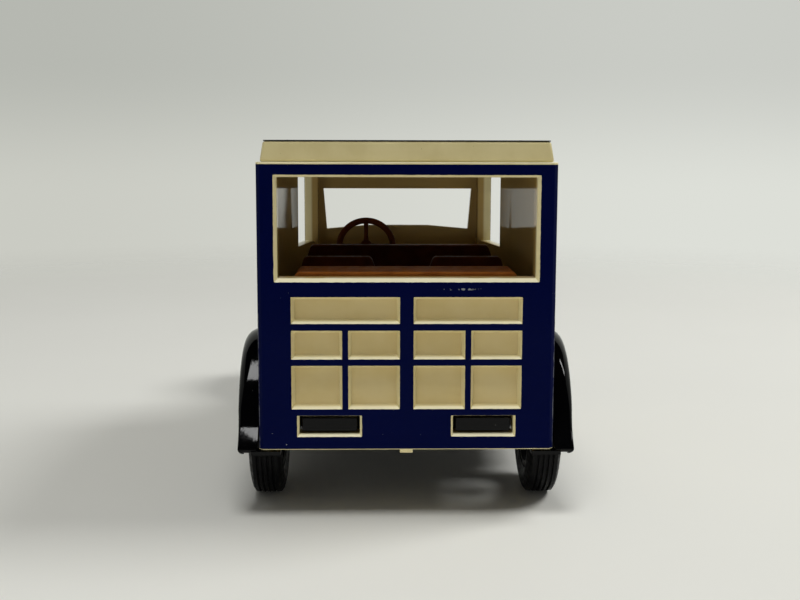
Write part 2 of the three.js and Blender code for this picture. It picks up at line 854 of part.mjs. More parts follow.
// A wing's section for a shoulder's radius, as distances from the van's middle and over the top line.
function wingSection(radius) {
  const inside = wingOuter - wingSheet;
  const insideRadius = Math.max(radius - wingSheet, wingFillet);
  return [
    [wingInner, 0],
    ...wingArc([wingOuter - radius, -radius], radius),
    [wingOuter, -wingValance],
    [inside, -wingValance],
    ...wingArc([inside - insideRadius, -wingSheet - insideRadius], insideRadius).reverse(),
    [wingInner, -wingSheet],
  ];
}

function bend(from, fromAim, toAim, to) {
  return new THREE.CubicBezierCurve3(at(0, ...from), at(0, ...fromAim), at(0, ...toAim), at(0, ...to));
}

// A quarter of an ellipse in side view, setting out either level or upright.
function quarterBend(from, to, startsLevel) {
  const corner = startsLevel ? [to[0], from[1]] : [from[0], to[1]];
  const aim = (end) => end.map((value, i) => THREE.MathUtils.lerp(value, corner[i], quarterAim));
  return bend(from, aim(from), aim(to), to);
}

// The top line of a rear wing, from its flared tail over the wheel to the running board.
function rearWingCurve() {
  const tail = [rearAxleStation - rearWingTail, wingHem + wingSheet];
  const waist = [rearAxleStation - rearWingWaist, rearWingWaistHeight];
  const crown = [rearAxleStation, wingCrown];
  const front = [rearAxleStation + rearWingFront, boardTop];
  const curve = new THREE.CurvePath();
  curve.add(quarterBend(tail, waist, true));
  curve.add(quarterBend(waist, crown, false));
  curve.add(quarterBend(crown, front, true));
  return curve;
}

// The top line of a front wing, from the running board over the wheel to its tip.
function frontWingCurve() {
  const tail = frontAxleStation - frontWingTail;
  const tip = frontAxleStation + frontWingTip;
  const curve = new THREE.CurvePath();
  curve.add(
    bend(
      [tail, boardTop],
      [frontAxleStation - frontWingTail * frontWingTailAims[0], boardTop],
      [frontAxleStation - frontWingTail * frontWingTailAims[1], wingCrown],
      [frontAxleStation, wingCrown],
    ),
  );
  curve.add(
    bend(
      [frontAxleStation, wingCrown],
      [frontAxleStation + frontWingTip * frontWingTipAim, wingCrown],
      [tip, wingCrown - (wingCrown - frontWingTipHeight) * frontWingDropAim],
      [tip, frontWingTipHeight],
    ),
  );
  return curve;
}

// A wing's section carried along its top line and square to it, with a shoulder that may change.
function wingAlong(curve, radiusAt) {
  const rings = [];
  for (let step = 0; step <= wingSteps; step += 1) {
    const top = curve.getPoint(step / wingSteps);
    const along = curve.getTangent(step / wingSteps);
    const section = wingSection(radiusAt(top.y - fromRear(0)));
    rings.push(
      section.map(([x, lift]) => new THREE.Vector3(x, top.y - along.z * lift, top.z + along.y * lift)),
    );
  }
  return loft(rings);
}

// A rear wing's shoulder grows rounder from the tail to the crown.
function rearWingRadius(station) {
  const share = (station - rearAxleStation + rearWingTail) / rearWingTail;
  return THREE.MathUtils.lerp(wingTailRadius, wingCrownRadius, Math.min(share, 1));
}

function rearWing() {
  const across = [0, wingOuter + overcut];
  const everywhere = [-overcut, overallLength];
  const underHem = box(across, everywhere, [-overcut, wingHem]);
  const panelFoot = bodyBottom - fitGap;
  const rearPanelWay = box([0, bodyHalfWidth + fitGap], [-overcut, rearWall + fitGap], [panelFoot, bodyTop]);
  const boardWay = box(across, [rearAxleStation, overallLength], [-overcut, boardTop]);
  return cut(wingAlong(rearWingCurve(), rearWingRadius), underHem, rearPanelWay, boardWay);
}

function frontWing() {
  const underHem = box([0, wingOuter + overcut], [-overcut, overallLength], [-overcut, wingHem]);
  return cut(wingAlong(frontWingCurve(), () => wingCrownRadius), underHem);
}

function runningBoard() {
  const heights = [wingHem, boardTop];
  const pieces = [box([boardInner, wingOuter], [boardRear, boardFront], heights)];
  const spacing = (boardFront - boardRear - boardTabWidth) / (boardTabs - 1);
  for (let i = 0; i < boardTabs; i += 1) {
    const start = boardRear + i * spacing;
    pieces.push(box([railOuter, boardInner + overcut], [start, start + boardTabWidth], heights));
  }
  return join(...pieces);
}

// Lamps and bumper

function lampBowl() {
  const bowl = turnLengthwise(
    [
      [0, 0],
      ...lampBowlCurve.map(([depth, radius]) => [lampDepth * depth, lampRadius * radius]),
      [lampDepth, lampRadius],
      [lampDepth, lampRadius - lampRim],
      [lampDepth - lampRim, lampRadius - lampRim],
      [lampDepth - lampRim, 0],
    ],
    middleSegments,
  );
  const seat = at(lampOffset, lampStation, lampHeight);
  return bowl.translate(seat.x, seat.y, seat.z);
}

function lampLens() {
  const radius = lampRadius - lampRim - pressGap;
  const lens = turnLengthwise(
    [
      [0, 0],
      [0, radius],
      [lampRim, radius],
      [lampRim + lampLensBulge * lampLensCurve[0], radius * lampLensCurve[1]],
      [lampRim + lampLensBulge, 0],
    ],
    middleSegments,
  );
  const seat = at(lampOffset, lampStation + lampDepth - lampRim, lampHeight);
  return lens.translate(seat.x, seat.y, seat.z);
}

function lampBar() {
  const station = lampStation + lampDepth / 2;
  const reach = wingInner - fitGap;
  const rod = turnAcross(barProfile(-reach, reach, lampBarRadius), smallSegments);
  const pieces = [rod.translate(0, fromRear(station), lampBarHeight)];
  const stemTop = lampHeight - lampRadius - pressGap;
  for (const side of [-1, 1]) {
    const stem = turnUpright(barProfile(lampBarHeight, stemTop, lampBarRadius), smallSegments);
    pieces.push(stem.translate(side * lampOffset, fromRear(station), 0));
  }
  return join(...pieces);
}

function bumperBar(bottom) {
  const front = overallLength - bumperThickness / 2;
  const path = new THREE.QuadraticBezierCurve3(
    at(-bumperHalfWidth, front - bumperSweep, bottom + bumperBarHeight / 2),
    at(0, front + bumperSweep, bottom + bumperBarHeight / 2),
    at(bumperHalfWidth, front - bumperSweep, bottom + bumperBarHeight / 2),
  );
  const height = bumperBarHeight / 2;
  const depth = bumperThickness / 2;
  const section = polygon([[-height, -depth], [height, -depth], [height, depth], [-height, depth]]);
  return new THREE.ExtrudeGeometry(section, { steps: smallSegments, extrudePath: path });
}

function bumperIron() {
  const across = [ironOffset - ironWidth / 2, ironOffset + ironWidth / 2];
  const outerShare = (ironOffset + ironWidth / 2) / bumperHalfWidth;
  const barBack = overallLength - bumperThickness - bumperSweep * outerShare ** 2;
  const end = barBack - pressGap;
  const half = bumperBarHeight + bumperGap / 2;
  const arm = box(across, [chassisNose, end], [chassisBottom, chassisTop]);
  const clampHeights = [bumperCentreHeight - half, bumperCentreHeight + half];
  const clamp = box(across, [end - bumperThickness, end], clampHeights);
  return join(arm, clamp);
}

// Cab fittings

function cabinFloor() {
  const width = [-chassisHalfWidth, chassisHalfWidth];
  return box(width, [rearWall + fitGap, cabinLength - frontWall - fitGap], [chassisTop, floorTop]);
}

// A seat moulding: an L in side view, with sloped corners to its back seen from behind.
function seat([left, right], station, back, cushion) {
  const front = station + back + cushion;
  const profile = polygon([
    [station, floorTop],
    [front, floorTop],
    [front, seatCushionTop],
    [station + back, seatCushionTop],
    [station + back, seatTop],
    [station, seatTop],
  ]);
  const [cornerWidth, cornerHeight] = seatCorner;
  const face = polygon([
    [left, floorTop],
    [right, floorTop],
    [right, seatTop - cornerHeight],
    [right - cornerWidth + seatCornerBreak, seatTop - seatCornerBreak],
    [right - cornerWidth, seatTop],
    [left + cornerWidth, seatTop],
    [left + cornerWidth - seatCornerBreak, seatTop - seatCornerBreak],
    [left, seatTop - cornerHeight],
  ]);
  const sideView = stretch(profile, left - overcut, right + overcut);
  const rearView = push(face, station - overcut, front + overcut);
  return common(sideView, rearView);
}

function steeringWheel() {
  const reach = steeringRadius - steeringRim;
  const rim = new THREE.TorusGeometry(reach, steeringRim, smallSegments / 2, middleSegments);
  const spoke = (angle) => new THREE.BoxGeometry(2 * reach, steeringSpoke, steeringRim).rotateZ(angle);
  const hub = turnUpright(barProfile(-steeringRim, steeringRim, steeringHubRadius), smallSegments);
  return join(rim, spoke(0), spoke(Math.PI / 2), hub);
}

function steeringColumn(length) {
  return turnUpright(barProfile(steeringRim + pressGap, length, columnRadius), smallSegments);
}

function placeSteering() {
  const tilt = THREE.MathUtils.degToRad(90 + steeringTilt);
  const centre = at(-steeringOffset, steeringStation, steeringHeight);
  const bulkhead = cabinLength - frontWall - fitGap;
  const length = (bulkhead - steeringStation) / Math.cos(THREE.MathUtils.degToRad(steeringTilt));
  const parts = [
    place("steering_wheel", steeringWheel(), brownPlastic),
    place("steering_column", steeringColumn(length - columnRadius), brownPlastic),
  ];
  for (const part of parts) {
    part.position.copy(centre);
    part.rotation.x = -tilt;
  }
}

// Wheels and axles, each made about its own centre with its outer side towards +X

function tyre() {
  const half = tyreWidth / 2;
  const tread = half - tyreShoulder;
  const outline = [
    [-half + tyreShoulder / 2, tyreBeadRadius],
    [-half, (tyreBeadRadius + tyreRadius) / 2],
    [-half + tyreShoulder / 4, tyreRadius - tyreShoulder],
    [-tread, tyreRadius],
  ];
  for (let i = 0; i < treadGrooves; i += 1) {
    const middle = -tread + (2 * tread * (i + 1)) / (treadGrooves + 1);
    outline.push([middle - treadGrooveWidth / 2, tyreRadius]);
    outline.push([middle, tyreRadius - treadGrooveDepth]);
    outline.push([middle + treadGrooveWidth / 2, tyreRadius]);
  }
  outline.push([tread, tyreRadius]);
  outline.push([half - tyreShoulder / 4, tyreRadius - tyreShoulder]);
  outline.push([half, (tyreBeadRadius + tyreRadius) / 2]);
  outline.push([half - tyreShoulder / 2, tyreBeadRadius]);
  outline.push(outline[0]);
  return turnAcross(outline, roundSegments);
}

function wheel() {
  const outer = tyreBeadRadius - pressGap;
  const inner = outer - rimThickness;
  const half = rimWidth / 2;
  const rim = turnAcross(ringProfile(-half, half, inner, outer), roundSegments);
  const bore = axleRadius + pressGap;
  const hubHalf = hubLength / 2;
  const hub = turnAcross(ringProfile(-hubHalf, hubHalf, bore, hubRadius), smallSegments);
  const pieces = [rim, hub];
  const from = (bore + hubRadius) / 2;
  const to = inner + rimThickness / 2;
  for (let i = 0; i < spokeCount; i += 1) {
    const spoke = new THREE.BoxGeometry(spokeThickness, spokeThickness, to - from);
    pieces.push(spoke.translate(0, 0, (from + to) / 2).rotateX((2 * Math.PI * i) / spokeCount));
  }
  return join(...pieces);
}

function hubCap() {
  const seat = hubLength / 2 + pressGap;
  return turnAcross(
    [
      [seat, 0],
      [seat, hubCapRadius],
      ...hubCapCurve.map(([height, radius]) => [seat + hubCapHeight * height, hubCapRadius * radius]),
      [seat + hubCapHeight, 0],
    ],
    smallSegments,
  );
}

function axle() {
  const reach = wheelCentre + hubLength / 2;
  return turnAcross(barProfile(-reach, reach, axleRadius), smallSegments);
}

function placeWheelset(end, station) {
  const parts = { wheel: [wheel(), wheelBlack], tyre: [tyre(), tyreBlack], hub_cap: [hubCap(), plating] };
  const centre = at(0, station, axleHeight);
  place(`${end}_axle`, axle(), steel).position.copy(centre);
  for (const [name, [geometry, material]] of Object.entries(parts)) {
    const right = place(`${end}_${name}_right`, geometry, material);
    const left = place(`${end}_${name}_left`, geometry, material);
    right.position.set(wheelCentre, centre.y, centre.z);
    left.position.set(-wheelCentre, centre.y, centre.z);
    left.scale.x = -1;
  }
}

// The van

place("van_body", vanBody(), navyPaint);
place("roof_panel", roofPanel(), creamPaint);
place("roof_cover", roofCover(), roofBlack);
place("scuttle", scuttle(), navyPaint);
place("bonnet", bonnet(), navyPaint);
place("radiator_shell", radiatorShell(), plating);
place("radiator_core", radiatorCore(), coreBlack);
place("radiator_cap", radiatorCap(), plating);
place("chassis_frame", chassisFrame(), blackPaint);
place("baseplate", baseplate(), blackPaint);
for (const [name, station] of Object.entries(rivetStations())) {
  place(name, rivet(station), steel);
}
placePair("rear_wing", rearWing(), blackPaint);
placePair("front_wing", frontWing(), blackPaint);
placePair("running_board", runningBoard(), blackPaint);
placePair("headlamp_bowl", lampBowl(), plating);
placePair("headlamp_lens", lampLens(), lensGlass);
place("lamp_bar", lampBar(), plating);
place("bumper_upper_bar", bumperBar(bumperCentreHeight + bumperGap / 2), plating);
place("bumper_lower_bar", bumperBar(bumperCentreHeight - bumperGap / 2 - bumperBarHeight), plating);
placePair("bumper_iron", bumperIron(), blackPaint);
place("cabin_floor", cabinFloor(), brownPlastic);
place("rear_bench", seat(benchWidth, rearBenchStation, rearBenchBack, rearBenchCushion), brownPlastic);
placePair("middle_seat", seat(middleSeatWidth, middleSeatStation, seatBack, seatCushion), brownPlastic);
place("front_bench", seat(benchWidth, frontBenchStation, seatBack, seatCushion), brownPlastic);
placeSteering();
placeWheelset("rear", rearAxleStation);
placeWheelset("front", frontAxleStation);

export default van;
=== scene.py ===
# The finish of a die-cast model delivery van, in the same frame as its solids.
# Sizes are in millimetres and become metres where a mesh is made. A station is the distance
# forward from the face of the rear panel.
import json
import math

import bmesh
import bpy
from mathutils import Matrix, Vector, noise


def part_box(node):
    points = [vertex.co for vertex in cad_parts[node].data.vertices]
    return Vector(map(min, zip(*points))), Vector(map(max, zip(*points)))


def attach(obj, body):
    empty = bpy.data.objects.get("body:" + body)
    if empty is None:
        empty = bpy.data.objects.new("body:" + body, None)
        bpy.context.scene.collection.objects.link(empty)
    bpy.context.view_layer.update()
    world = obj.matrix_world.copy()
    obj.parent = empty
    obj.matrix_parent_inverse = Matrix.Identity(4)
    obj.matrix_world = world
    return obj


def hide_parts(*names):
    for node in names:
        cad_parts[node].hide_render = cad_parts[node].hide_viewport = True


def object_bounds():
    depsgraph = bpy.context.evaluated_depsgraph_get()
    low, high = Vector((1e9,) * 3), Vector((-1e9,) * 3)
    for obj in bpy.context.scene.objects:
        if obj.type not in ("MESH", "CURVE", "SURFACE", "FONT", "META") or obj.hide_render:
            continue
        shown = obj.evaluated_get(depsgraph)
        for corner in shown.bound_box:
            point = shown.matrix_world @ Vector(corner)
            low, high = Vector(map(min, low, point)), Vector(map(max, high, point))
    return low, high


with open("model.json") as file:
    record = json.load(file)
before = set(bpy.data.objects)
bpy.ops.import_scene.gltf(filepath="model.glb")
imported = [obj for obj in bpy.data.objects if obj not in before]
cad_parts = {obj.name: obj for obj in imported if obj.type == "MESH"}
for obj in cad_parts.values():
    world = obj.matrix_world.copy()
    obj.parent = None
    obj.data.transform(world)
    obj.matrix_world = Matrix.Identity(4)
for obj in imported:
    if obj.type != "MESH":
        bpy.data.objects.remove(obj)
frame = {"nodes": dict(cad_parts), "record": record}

cad_low, cad_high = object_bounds()

MM = 0.001
WELD = 1e-6
FLAT_ANGLE = math.radians(1)
EDGE_ANGLE = math.radians(25)
SMOOTH_ANGLE = math.radians(38)
EDGE_SEGMENTS = 3
EDGE_PROFILE = 0.5
ROUND_STEPS = 96
LAMP_STEPS = 64
SMALL_STEPS = 40
BOSS_STEPS = 24
TUBE_STEPS = 12


def box_of(node):
    """A solid's lowest and highest corners, in millimetres."""
    return [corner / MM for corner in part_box(node)]


RECORD = frame["record"]
BODY_OF = {node: body for body, nodes in RECORD["behaviour"]["bodies"].items() for node in nodes}

# Body
REAR = cad_low.y / MM
BODY_HIGH = box_of("van_body")[1]
BODY_HALF_WIDTH = BODY_HIGH.x
BODY_TOP = BODY_HIGH.z
BODY_BOTTOM = 8.8
CABIN_LENGTH = BODY_HIGH.y - REAR
STRAIGHT_SIDE = 37.5
CABIN_TAPER = 3.4
CABIN_SLOPE = CABIN_TAPER / (CABIN_LENGTH - STRAIGHT_SIDE)
REAR_CORNER = 0.5

# Axles
REAR_AXLE = 13.0
FRONT_AXLE = 79.0
AXLE_HEIGHT = 9.5

# Widths of rounded edges
BODY_EDGE = 0.09
ROOF_EDGE = 0.3
SCUTTLE_EDGE = 0.15
CORE_EDGE = 0.03
FRAME_EDGE = 0.12
WING_EDGE = 0.18
BOARD_EDGE = 0.06
SEAT_EDGE = 0.15
COLUMN_EDGE = 0.08


# Shapes


class Shape:
    """Corner points in millimetres and the faces over them."""

    def __init__(self, points=(), faces=()):
        self.points = [Vector(point) for point in points]
        self.faces = [tuple(face) for face in faces]

    def add(self, *others):
        for other in others:
            start = len(self.points)
            self.points += other.points
            self.faces += [tuple(start + i for i in face) for face in other.faces]
        return self

    def moved(self, matrix):
        return Shape([matrix @ point for point in self.points], self.faces)

    def mirrored(self):
        points = [Vector((-point.x, point.y, point.z)) for point in self.points]
        return Shape(points, [tuple(reversed(face)) for face in self.faces])


def at(x, station, z):
    return Vector((x, REAR + station, z))


def between(first, second, share):
    return first + (second - first) * share


def lofted(rings, looped=False):
    """A skin over rings of equally many points, capped unless the last ring joins the first."""
    count = len(rings[0])
    faces = []
    for i in range(len(rings) if looped else len(rings) - 1):
        here = i * count
        there = (i + 1) % len(rings) * count
        for j in range(count):
            k = (j + 1) % count
            faces.append((here + j, here + k, there + k, there + j))
    if not looped:
        last = (len(rings) - 1) * count
        faces.append(tuple(reversed(range(count))))
        faces.append(tuple(range(last, last + count)))
    return Shape([point for ring in rings for point in ring], faces)


AXES = {
    "across": lambda along, a, b: Vector((along, a, b)),
    "lengthwise": lambda along, a, b: Vector((a, along, b)),
    "upright": lambda along, a, b: Vector((a, b, along)),
}


def turned(profile, centre, axis, steps=ROUND_STEPS):
    """A profile of (distance along the axis, radius) turned about an axis through a centre."""
    rings = []
    for i in range(steps):
        turn = math.tau * i / steps
        cosine, sine = math.cos(turn), math.sin(turn)
        rings.append([centre + AXES[axis](along, r * cosine, r * sine) for along, r in profile])
    return lofted(rings, looped=True)


def turned_copies(shape, count, axis):
    """Copies of a shape set evenly round an axis through the origin."""
    return [shape.moved(Matrix.Rotation(math.tau * i / count, 4, axis)) for i in range(count)]


def block(low, high):
    x0, y0, z0 = low
    x1, y1, z1 = high
    foot = [(x0, y0, z0), (x1, y0, z0), (x1, y1, z0), (x0, y1, z0)]
    top = [(x, y, z1) for x, y, _ in foot]
    return lofted([foot, top])


def arc(centre, radius, start, end, steps):
    """Points of an arc in a plane, angles in degrees."""
    points = []
    for i in range(steps + 1):
        angle = math.radians(between(start, end, i / steps))
        points.append((centre[0] + radius * math.cos(angle), centre[1] + radius * math.sin(angle)))
    return points


def circle(radius, count=TUBE_STEPS):
    """Points evenly round a circle."""
    return arc((0, 0), radius, 0, 360 - 360 / count, count - 1)


def dome(foot, height, radius, angles):
    """Points of a domed profile at angles of its quarter round."""
    return [(foot + height * math.sin(angle), radius * math.cos(angle)) for angle in angles]


def bezier(a, b, c, d, steps):
    """Points of a cubic curve without its last point."""
    a, b, c, d = (Vector(point) for point in (a, b, c, d))
    points = []
    for i in range(steps):
        t = i / steps
        s = 1 - t
        points.append(s**3 * a + 3 * s * s * t * b + 3 * s * t * t * c + t**3 * d)
    return points


# Pieces


def round_off(work, edges, width):
    """Rounds edges of a bmesh by a width in millimetres."""
    size = {"offset": width * MM, "segments": EDGE_SEGMENTS, "profile": EDGE_PROFILE}
    bmesh.ops.bevel(work, geom=edges, affect="EDGES", clamp_overlap=False, **size)


def round_edges(work, width):
    """Rounds every sharp edge."""
    edges = [edge for edge in work.edges if edge.is_manifold and edge.calc_face_angle() > EDGE_ANGLE]
    round_off(work, edges, width)


def round_ends(work, width):
    """Rounds the edges of the end faces, which have more than four corners."""
    edges = [edge for edge in work.edges if any(len(face.verts) > 4 for face in edge.link_faces)]
    round_off(work, edges, width)


def finished(name, work, material):
    """An object of a bmesh with smooth faces, creased where they meet sharply."""
    mesh = bpy.data.meshes.new(name)
    work.to_mesh(mesh)
    work.free()
    mesh.shade_smooth()
    mesh.set_sharp_from_angle(angle=SMOOTH_ANGLE)
    mesh.materials.append(material)
    piece = bpy.data.objects.new(name, mesh)
    bpy.context.scene.collection.objects.link(piece)
    weight = piece.modifiers.new("even_normals", "WEIGHTED_NORMAL")
    weight.keep_sharp = True
    return piece


def bmesh_of(shape):
    work = bmesh.new()
    corners = [work.verts.new(point * MM) for point in shape.points]
    for face in shape.faces:
        work.faces.new([corners[i] for i in face])
    bmesh.ops.remove_doubles(work, verts=work.verts, dist=WELD)
    bmesh.ops.recalc_face_normals(work, faces=work.faces)
    return work


def stand_for(piece, node):
    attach(piece, BODY_OF[node])
    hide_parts(node)
    return piece


def make(node, shape, material, bevel=0.0, end_bevel=0.0):
    """A modelled piece in the place of a solid."""
    work = bmesh_of(shape)
    if bevel:
        round_edges(work, bevel)
    if end_bevel:
        round_ends(work, end_bevel)
    return stand_for(finished(f"{node}_finish", work, material), node)


def make_pair(name, shape, material, bevel=0.0, end_bevel=0.0):
    make(f"{name}_right", shape, material, bevel, end_bevel)
    make(f"{name}_left", shape.mirrored(), material, bevel, end_bevel)


def dress(node, material, bevel):
    """The solid's own shape with its edges rounded."""
    work = bmesh.new()
    work.from_mesh(frame["nodes"][node].data)
    bmesh.ops.remove_doubles(work, verts=work.verts, dist=WELD)
    bmesh.ops.dissolve_limit(work, angle_limit=FLAT_ANGLE, verts=work.verts, edges=work.edges)
    round_edges(work, bevel)
    return stand_for(finished(f"{node}_finish", work, material), node)


def add_trim(name, shape, material):
    """A small piece of the van that has no solid of its own."""
    piece = finished(name, bmesh_of(shape), material)
    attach(piece, "van")
    return piece


# Materials

# Sockets of a Mix node that carry colours
MIX_FIRST = 6
MIX_SECOND = 7
MIX_RESULT = 2

# The strengths that most of a noise lies between
NOISE_BAND = (0.3, 0.7)


class Nodes:
    """Short ways to add nodes to a tree."""

    def __init__(self, tree):
        self.tree = tree

    def node(self, kind, **settings):
        node = self.tree.nodes.new(kind)
        for name, value in settings.items():
            setattr(node, name, value)
        return node

    def feed(self, socket, value):
        """A socket takes a link from another socket, or a plain value."""
        if isinstance(value, bpy.types.NodeSocket):
            self.tree.links.new(value, socket)
        else:
            socket.default_value = value

    def math(self, operation, *values):
        node = self.node("ShaderNodeMath", operation=operation)
        for socket, value in zip(node.inputs, values):
            self.feed(socket, value)
        return node.outputs[0]

    def chain(self, operation, result, *others):
        """One operation over several values in turn."""
        for other in others:
            result = self.math(operation, result, other)
        return result

    def parts(self, vector):
        """The three parts of a vector."""
        node = self.node("ShaderNodeSeparateXYZ")
        self.feed(node.inputs[0], vector)
        return node.outputs

    def range(self, value, low, high, new_low=0.0, new_high=1.0):
        node = self.node("ShaderNodeMapRange", interpolation_type="SMOOTHSTEP")
        for socket, entry in zip(node.inputs, (value, low, high, new_low, new_high)):
            self.feed(socket, entry)
        return node.outputs[0]

    def fade(self, length, span):
        """0 at the first end of a span of lengths in millimetres and 1 at the other."""
        start, end = span
        return self.range(length, start * MM, end * MM)

    def mix(self, factor, first, second):
        node = self.node("ShaderNodeMix", data_type="RGBA")
        self.feed(node.inputs[0], factor)
        self.feed(node.inputs[MIX_FIRST], first)
        self.feed(node.inputs[MIX_SECOND], second)
        return node.outputs[MIX_RESULT]

    def blend(self, factor, first, second):
        """A mix of two shaders."""
        node = self.node("ShaderNodeMixShader")
        for socket, entry in zip(node.inputs, (factor, first, second)):
            self.feed(socket, entry)
        return node.outputs[0]


class Recipe(Nodes):
    """A material being made: its node tree and its shader."""

    def __init__(self, name, **inputs):
        self.material = bpy.data.materials.new(name)
        self.material.use_nodes = True
        super().__init__(self.material.node_tree)
        self.shader = self.tree.nodes["Principled BSDF"]
        for socket, value in inputs.items():
            self.shader.inputs[socket.replace("_", " ")].default_value = value
        self.place = self.node("ShaderNodeTexCoord").outputs["Object"]

    def set(self, socket, value):
        self.feed(self.shader.inputs[socket], value)

    def noise(self, size, detail=2.0, seed=0.0):
        """Noise between 0 and 1 whose patches are about the given size in millimetres."""
        node = self.node("ShaderNodeTexNoise", noise_dimensions="4D")
        self.feed(node.inputs["Vector"], self.place)
        node.inputs["W"].default_value = seed
        node.inputs["Scale"].default_value = 1 / (size * MM)
        node.inputs["Detail"].default_value = detail
        return node.outputs["Fac"]

    def patches(self, size, detail, seed, band=NOISE_BAND, values=(0.0, 1.0)):
        """Soft patches: a band of a noise's strengths spread between two values."""
        return self.range(self.noise(size, detail, seed), *band, *values)

    def two_tone(self, first, second, size, detail, seed=1.0, band=NOISE_BAND):
        """A base colour that changes between two tones in soft patches."""
        self.set("Base Color", self.mix(self.patches(size, detail, seed, band), first, second))

    def roughen(self, least, most, size, detail, seed=2.0, band=NOISE_BAND):
        self.set("Roughness", self.patches(size, detail, seed, band, (least, most)))

    def bump(self, depth, size, detail, seed=3.0):
        """Bumps of a depth and a size in millimetres."""
        node = self.node("ShaderNodeBump")
        node.inputs["Distance"].default_value = depth * MM
        self.feed(node.inputs["Height"], self.noise(size, detail, seed))
        self.feed(self.shader.inputs["Normal"], node.outputs[0])


def colour(red, green, blue):
    """A colour given as it looks on a screen, from 0 to 255."""
    linear = []
    for value in (red, green, blue):
        share = value / 255
        linear.append(share / 12.92 if share <= 0.04045 else ((share + 0.055) / 1.055) ** 2.4)
    return (*linear, 1.0)


# Body paint
CREAM = colour(234, 222, 174)
CREAM_SHADE = colour(226, 212, 160)
# Painted highlight: a paler cream for upward-facing sills near the outer faces
CREAM_SILL_HIGHLIGHT = colour(252, 246, 212)
# Painted shade: a darker cream for faces deep inside the body
INSIDE_SHADE_CREAM = colour(184, 156, 98)
NAVY = colour(5, 12, 58)
NAVY_SHADE = colour(3, 9, 50)
# Bare metal in the chips, also used for the painted highlight down the rear corners
BARE_AND_HIGHLIGHT = colour(180, 184, 180)
PAINT_GLOSS = 0.02
CREAM_BAND = (0.4, 0.7)
NAVY_REACH = (0.05, 0.075)
CREAM_UNDER_ROOF = 0.25
CREAM_AT_FOOT = 0.1
INSIDE_SHADE_DEPTH = (1.0, 1.4)
SILL_HIGHLIGHT_DEPTH = (0.9, 0.6)
SILL_HIGHLIGHT_TILT = (0.3, 0.8)
WEAR_AND_HIGHLIGHT = 0.5
SCUFF_HEIGHT = 28.55
SCUFF_SPREAD = (0.35, 0.05)
SCUFF_START = (0.5, 4.0)
SCUFF_END = (12.0, 8.0)
SCUFF_BAND = (0.5, 0.6)
# Painted highlight: a pale line down each rounded rear corner
CORNER_HIGHLIGHT_LINE = (0.16, 0.08)
CORNER_HIGHLIGHT_REACH = (0.6, 0.3)
CORNER_HIGHLIGHT_HEIGHT = (28.0, 22.0)
CORNER_HIGHLIGHT_BAND = (0.35, 0.65)


def body_place(recipe):
    """Where a point of the body lies across, forward of the rear face and up, in metres."""
    x, y, z = recipe.parts(recipe.place)
    return x, recipe.math("SUBTRACT", y, REAR * MM), z


def outer_depth(recipe, x, station):
    """How far a point of the body lies under its outer faces, in metres."""
    past = recipe.math("MAXIMUM", recipe.math("SUBTRACT", station, STRAIGHT_SIDE * MM), 0.0)
    edge = recipe.math("SUBTRACT", BODY_HALF_WIDTH * MM, recipe.math("MULTIPLY", past, CABIN_SLOPE))
    flank = recipe.math("SUBTRACT", edge, recipe.math("ABSOLUTE", x))
    front = recipe.math("SUBTRACT", CABIN_LENGTH * MM, station)
    both = recipe.math("ADD", station, flank)
    corner = recipe.math("MULTIPLY", recipe.math("SUBTRACT", both, REAR_CORNER * MM), math.sqrt(0.5))
    return recipe.chain("MINIMUM", station, flank, front, corner)


def navy_tone(recipe):
    """Navy with a slow change of depth and a few small chips down to bare metal."""
    navy = recipe.mix(recipe.noise(size=9.0, detail=2.0, seed=6.0), NAVY, NAVY_SHADE)
    chips = recipe.patches(size=0.3, detail=0.0, seed=3.0, band=(0.87, 0.9))
    return recipe.mix(chips, navy, BARE_AND_HIGHLIGHT)


def scuff(recipe, x, z):
    """A scuffed stretch under the window."""
    away = recipe.math("ABSOLUTE", recipe.math("SUBTRACT", z, SCUFF_HEIGHT * MM))
    start, end = recipe.fade(x, SCUFF_START), recipe.fade(x, SCUFF_END)
    specks = recipe.noise(size=0.3, detail=2.0, seed=4.0)
    scuffed = recipe.chain("MULTIPLY", start, end, recipe.fade(away, SCUFF_SPREAD), specks)
    return recipe.range(scuffed, *SCUFF_BAND, 0.0, WEAR_AND_HIGHLIGHT)


def corner_highlight_lines(recipe, x, station, z):
    """A painted highlight: a thin pale line down each rear corner, in broken patches."""
    inset = recipe.math("SUBTRACT", BODY_HALF_WIDTH * MM, recipe.math("ABSOLUTE", x))
    line, reach = recipe.fade(inset, CORNER_HIGHLIGHT_LINE), recipe.fade(station, CORNER_HIGHLIGHT_REACH)
    broken = recipe.patches(size=1.2, detail=3.0, seed=5.0, band=CORNER_HIGHLIGHT_BAND, values=(0.0, WEAR_AND_HIGHLIGHT))
    return recipe.chain("MULTIPLY", line, reach, recipe.fade(z, CORNER_HIGHLIGHT_HEIGHT), broken)


def body_cream(recipe, depth):
    """Cream with a painted highlight on upward-facing sills and painted shade on faces deep inside."""
    shade = recipe.patches(size=5.0, detail=3.0, seed=7.0, band=CREAM_BAND)
    upward = recipe.parts(recipe.node("ShaderNodeNewGeometry").outputs["Normal"])[2]
    # Painted highlight: upward faces near the outer skin turn paler
    sill_highlight = recipe.math("MULTIPLY", recipe.range(upward, *SILL_HIGHLIGHT_TILT), recipe.fade(depth, SILL_HIGHLIGHT_DEPTH))
    cream = recipe.mix(sill_highlight, recipe.mix(shade, CREAM, CREAM_SHADE), CREAM_SILL_HIGHLIGHT)
    # Painted shade: faces deep inside the body turn darker
    return recipe.mix(recipe.fade(depth, INSIDE_SHADE_DEPTH), cream, INSIDE_SHADE_CREAM)


def paint_skin(recipe):
    """An even gloss with a very slight orange peel."""
    recipe.roughen(least=0.05, most=0.1, size=2.5, detail=3.0, seed=8.0)
    recipe.bump(depth=0.003, size=0.5, detail=1.0, seed=9.0)


